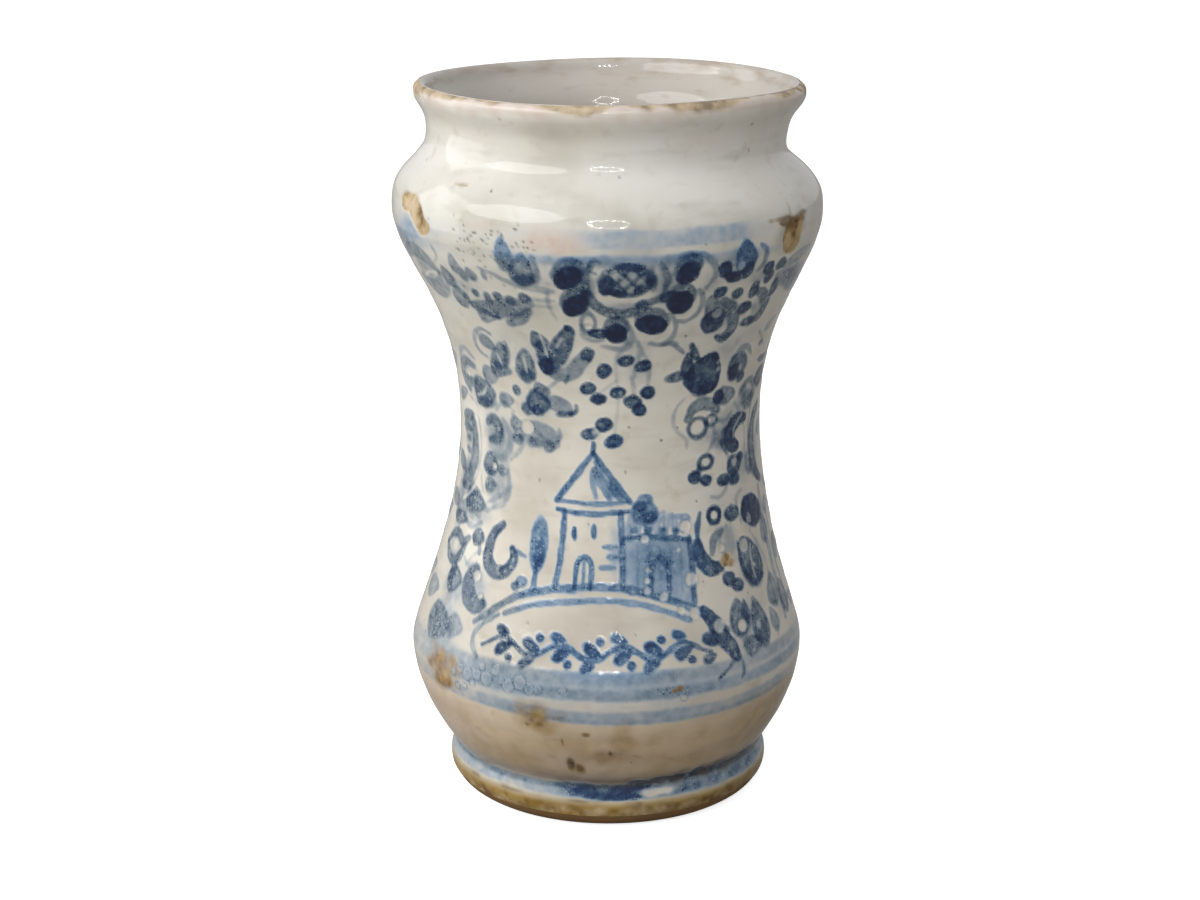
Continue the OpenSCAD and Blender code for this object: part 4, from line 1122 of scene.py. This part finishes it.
dimples = add_node(tree, "Math", {0: dimples, 1: fizz}, operation="MULTIPLY")
peel = add_node(tree, "Math", {0: dimples, 1: -0.6, 2: peel}, operation="MULTIPLY_ADD")
raised = add_node(tree, "Math", {0: bubble, 1: fizz}, operation="MULTIPLY")
peel = add_node(tree, "Math", {0: raised, 1: 0.8, 2: peel}, operation="MULTIPLY_ADD")
peel = add_node(tree, "Math", {0: here["cobalt"], 1: 0.8, 2: peel}, operation="MULTIPLY_ADD")
bumpy = add_node(tree, "Bump", {"Height": peel, "Strength": 0.3, "Distance": 0.25 * MM})
glaze_shader = add_node(tree, "BsdfPrincipled", {
    "Base Color": worn, "Roughness": gloss, "Specular IOR Level": 0.45, "Normal": bumpy})
add_node(tree, "OutputMaterial", {"Surface": glaze_shader})

start = 0
for piece, points, outer, ahead in zones:
    mine = slice(start, start + len(points))
    start += len(points)
    turn = np.radians(angle[mine])
    rise = relief[mine] * outer
    out = np.stack([np.sin(turn) * ahead[:, 0], -np.cos(turn) * ahead[:, 0], ahead[:, 1]], 1)
    place_points(piece, thrown(points + out * rise[:, None]))
    for name, values in layers.items():
        layer = piece.data.attributes.new(name, "FLOAT", "POINT")
        layer.data.foreach_set("value", values[mine].astype(np.float32))
    piece.data.materials.append(tin_glaze)

# Inner glaze: the same white coat, poured inside and swilled round, unpainted, from the crest of the lip down
# over the wall and the floor. It is coloured greyer for its dirt and as painted shade inside the jar.
SEEN_ROWS = 150
SEEN_GAP = 0.9
DEEP_GAP = 3
lining = eased(np.concatenate([coated_lip[LIP_CREST:], offset(clay_inner, coat)[2:]]), 3)
lining[0] = crest
lining[-1, 0] = 0
seen = spaced(lining[:SEEN_ROWS], SEEN_GAP)
deep = spaced(lining[SEEN_ROWS - 1:], DEEP_GAP)[1:]
back = spaced(offset(np.concatenate([seen, deep]), -coat), INNER_GAP)[::-1]
back[0, 0] = 0
inner_coat = lathe("inner_glaze_coat", np.concatenate([seen, deep, back]), COLUMNS // 2)
place_points(inner_coat, thrown(points_of(inner_coat)[0]))

# Plain tin glaze: a glossy grey white, the grey partly painted shade, smeared as it was swilled, with brown
# smudges and a rubbed rim.
lining_glaze, tree = new_material("plain_tin_glaze")
spots = add_node(tree, "TexCoord").outputs["Object"]
flat_spots = add_node(tree, "Mapping", {"Vector": spots, "Scale": (1, 1, 3)})
smears = add_node(tree, "TexNoise", {"Vector": flat_spots, "Scale": 1 / (22 * MM), "Detail": 4.0})
smudges = add_node(tree, "TexNoise", {"Vector": flat_spots, "Scale": 1 / (8 * MM), "Detail": 8.0})
ripples = add_node(tree, "TexNoise", {"Vector": spots, "Scale": 1 / (6 * MM), "Detail": 2.0})
up = add_node(tree, "SeparateXYZ", {"Vector": spots}).outputs["Z"]
# Painted shade: the lining's base colour is darker and greyer than the outer glaze's, for the shade inside.
grey_and_shade = add_node(tree, "Mix", {0: smears, 6: linear("#B6ADA3"), 7: linear("#CCC7BD")}, data_type="RGBA")
smudge = add_node(tree, "MapRange", {
    "Value": smudges, "From Min": 0.56, "From Max": 0.75, "To Max": 0.35}, interpolation_type="SMOOTHSTEP")
grey_and_shade = add_node(tree, "Mix", {0: smudge, 6: grey_and_shade, 7: linear("#98836A")}, data_type="RGBA")
at_lip = add_node(tree, "MapRange", {
    "Value": up, "From Min": (top - 7) * MM, "From Max": (top - 1) * MM}, interpolation_type="SMOOTHSTEP")
rubbing = add_node(tree, "MapRange", {
    "Value": smudges, "From Min": 0.44, "From Max": 0.6, "To Max": 0.35}, interpolation_type="SMOOTHSTEP")
rubbing = add_node(tree, "Math", {0: rubbing, 1: at_lip}, operation="MULTIPLY")
grey_and_shade = add_node(tree, "Mix", {0: rubbing, 6: grey_and_shade, 7: linear("#A8907A")}, data_type="RGBA")
pores = add_node(tree, "TexNoise", {"Vector": spots, "Scale": 1 / (1.2 * MM), "Detail": 2.0})
uneven = add_node(tree, "Math", {0: pores, 1: 0.14, 2: ripples}, operation="MULTIPLY_ADD")
wavy = add_node(tree, "Bump", {"Height": uneven, "Strength": 0.4, "Distance": 0.25 * MM})
lining_shader = add_node(tree, "BsdfPrincipled", {
    "Base Color": grey_and_shade, "Roughness": 0.07, "Specular IOR Level": 0.45, "Normal": wavy})
add_node(tree, "OutputMaterial", {"Surface": lining_shader})
inner_coat.data.materials.append(lining_glaze)
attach(inner_coat, "root")
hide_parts("inner_glaze")

# Stage: a plain white floor that keeps the jar's soft shadow. The light that it throws back on the jar is a
# grey table's, and the glaze mirrors something between the two.
MIRRORED = 0.15


def white_rays(tree):
    """The share of white that a ray sees: all of it from the camera, and a part in the glaze's mirror."""
    rays = add_node(tree, "LightPath").outputs
    straight = add_node(tree, "Math", {
        0: rays["Is Camera Ray"], 1: rays["Is Transmission Ray"]}, operation="MAXIMUM")
    return add_node(tree, "Math", {
        0: rays["Is Glossy Ray"], 1: MIRRORED, 2: straight}, operation="MULTIPLY_ADD")


bpy.ops.object.select_all(action="DESELECT")
bpy.ops.mesh.primitive_plane_add(size=12, location=(0, 0, -0.2 * MM))
floor = bpy.context.object
floor.name = "floor"
paper, tree = new_material("white_paper")
matt = add_node(tree, "BsdfDiffuse", {"Color": linear("#F2F2F2")})
glow = add_node(tree, "Emission", {"Color": linear("#FFFFFF"), "Strength": 0.75})
lit = add_node(tree, "AddShader", {0: matt, 1: glow})
table = add_node(tree, "BsdfDiffuse", {"Color": linear("#8A857C")})
mixed = add_node(tree, "MixShader", {0: white_rays(tree), 1: table, 2: lit})
add_node(tree, "OutputMaterial", {"Surface": mixed})
floor.data.materials.append(paper)

# Light: a tall window to the left and a little behind, a broad soft light in front of it, a ring lamp over
# the camera, and a pale room.
scene = bpy.context.scene
scene.view_settings.view_transform = "Standard"
world = bpy.data.worlds.new("studio")
scene.world = world
world.use_nodes = True
world.node_tree.nodes.clear()
tree = world.node_tree
room = add_node(tree, "Background", {"Color": linear("#F4F6FA"), "Strength": 0.54})
white = add_node(tree, "Background", {"Color": linear("#FFFFFF"), "Strength": 1.0})
mixed = add_node(tree, "MixShader", {0: white_rays(tree), 1: room, 2: white})
add_node(tree, "OutputWorld", {"Surface": mixed})
jar_middle = Vector((0, 0, cad_high.z / 2))


def lamp(name, shape, round_by, up_by, away, size, power, aside=(0, 0)):
    """A lamp that faces the jar's middle, turned right from the front and raised by degrees, set aside."""
    light = bpy.data.lights.new(name, "AREA")
    light.shape = shape
    light.size, light.size_y = size
    light.energy = power
    made = bpy.data.objects.new(name, light)
    scene.collection.objects.link(made)
    a, b = math.radians(round_by), math.radians(up_by)
    way = Vector((math.sin(a) * math.cos(b), -math.cos(a) * math.cos(b), math.sin(b)))
    turn = (-way).to_track_quat("-Z", "Y")
    made.location = jar_middle + away * way + turn @ Vector((*aside, 0))
    made.rotation_euler = turn.to_euler()


lamp("window", "RECTANGLE", -98, 17, 0.62, (0.4, 0.56), 1.1)
lamp("soft_light", "ELLIPSE", -54, 32, 1.6, (1.5, 1.1), 14.4)
RING_LEDS = 16
RING_RADIUS = 0.13
for k in range(RING_LEDS):
    a = 2 * math.pi * k / RING_LEDS
    lamp(f"ring_led_{k}", "DISK", 0, 25, 0.84, (0.026, 0.026), 0.075,
         (RING_RADIUS * math.cos(a), RING_RADIUS * math.sin(a)))

# Camera: a little above the rim and close, as the jar was photographed, so that its mouth shows as a narrow
# oval and its foot as a rounder one.
camera = bpy.data.objects.new("camera", bpy.data.cameras.new("camera"))
scene.collection.objects.link(camera)
scene.camera = camera
CAMERA_PLACE = (0, -0.7157, 0.3077)
PITCH_DOWN = 0.2753
PAN_LEFT = 0.0037
camera.location = CAMERA_PLACE
camera.rotation_euler = (math.pi / 2 - PITCH_DOWN, 0, PAN_LEFT)
camera.data.sensor_width = 36
camera.data.lens = 71.94
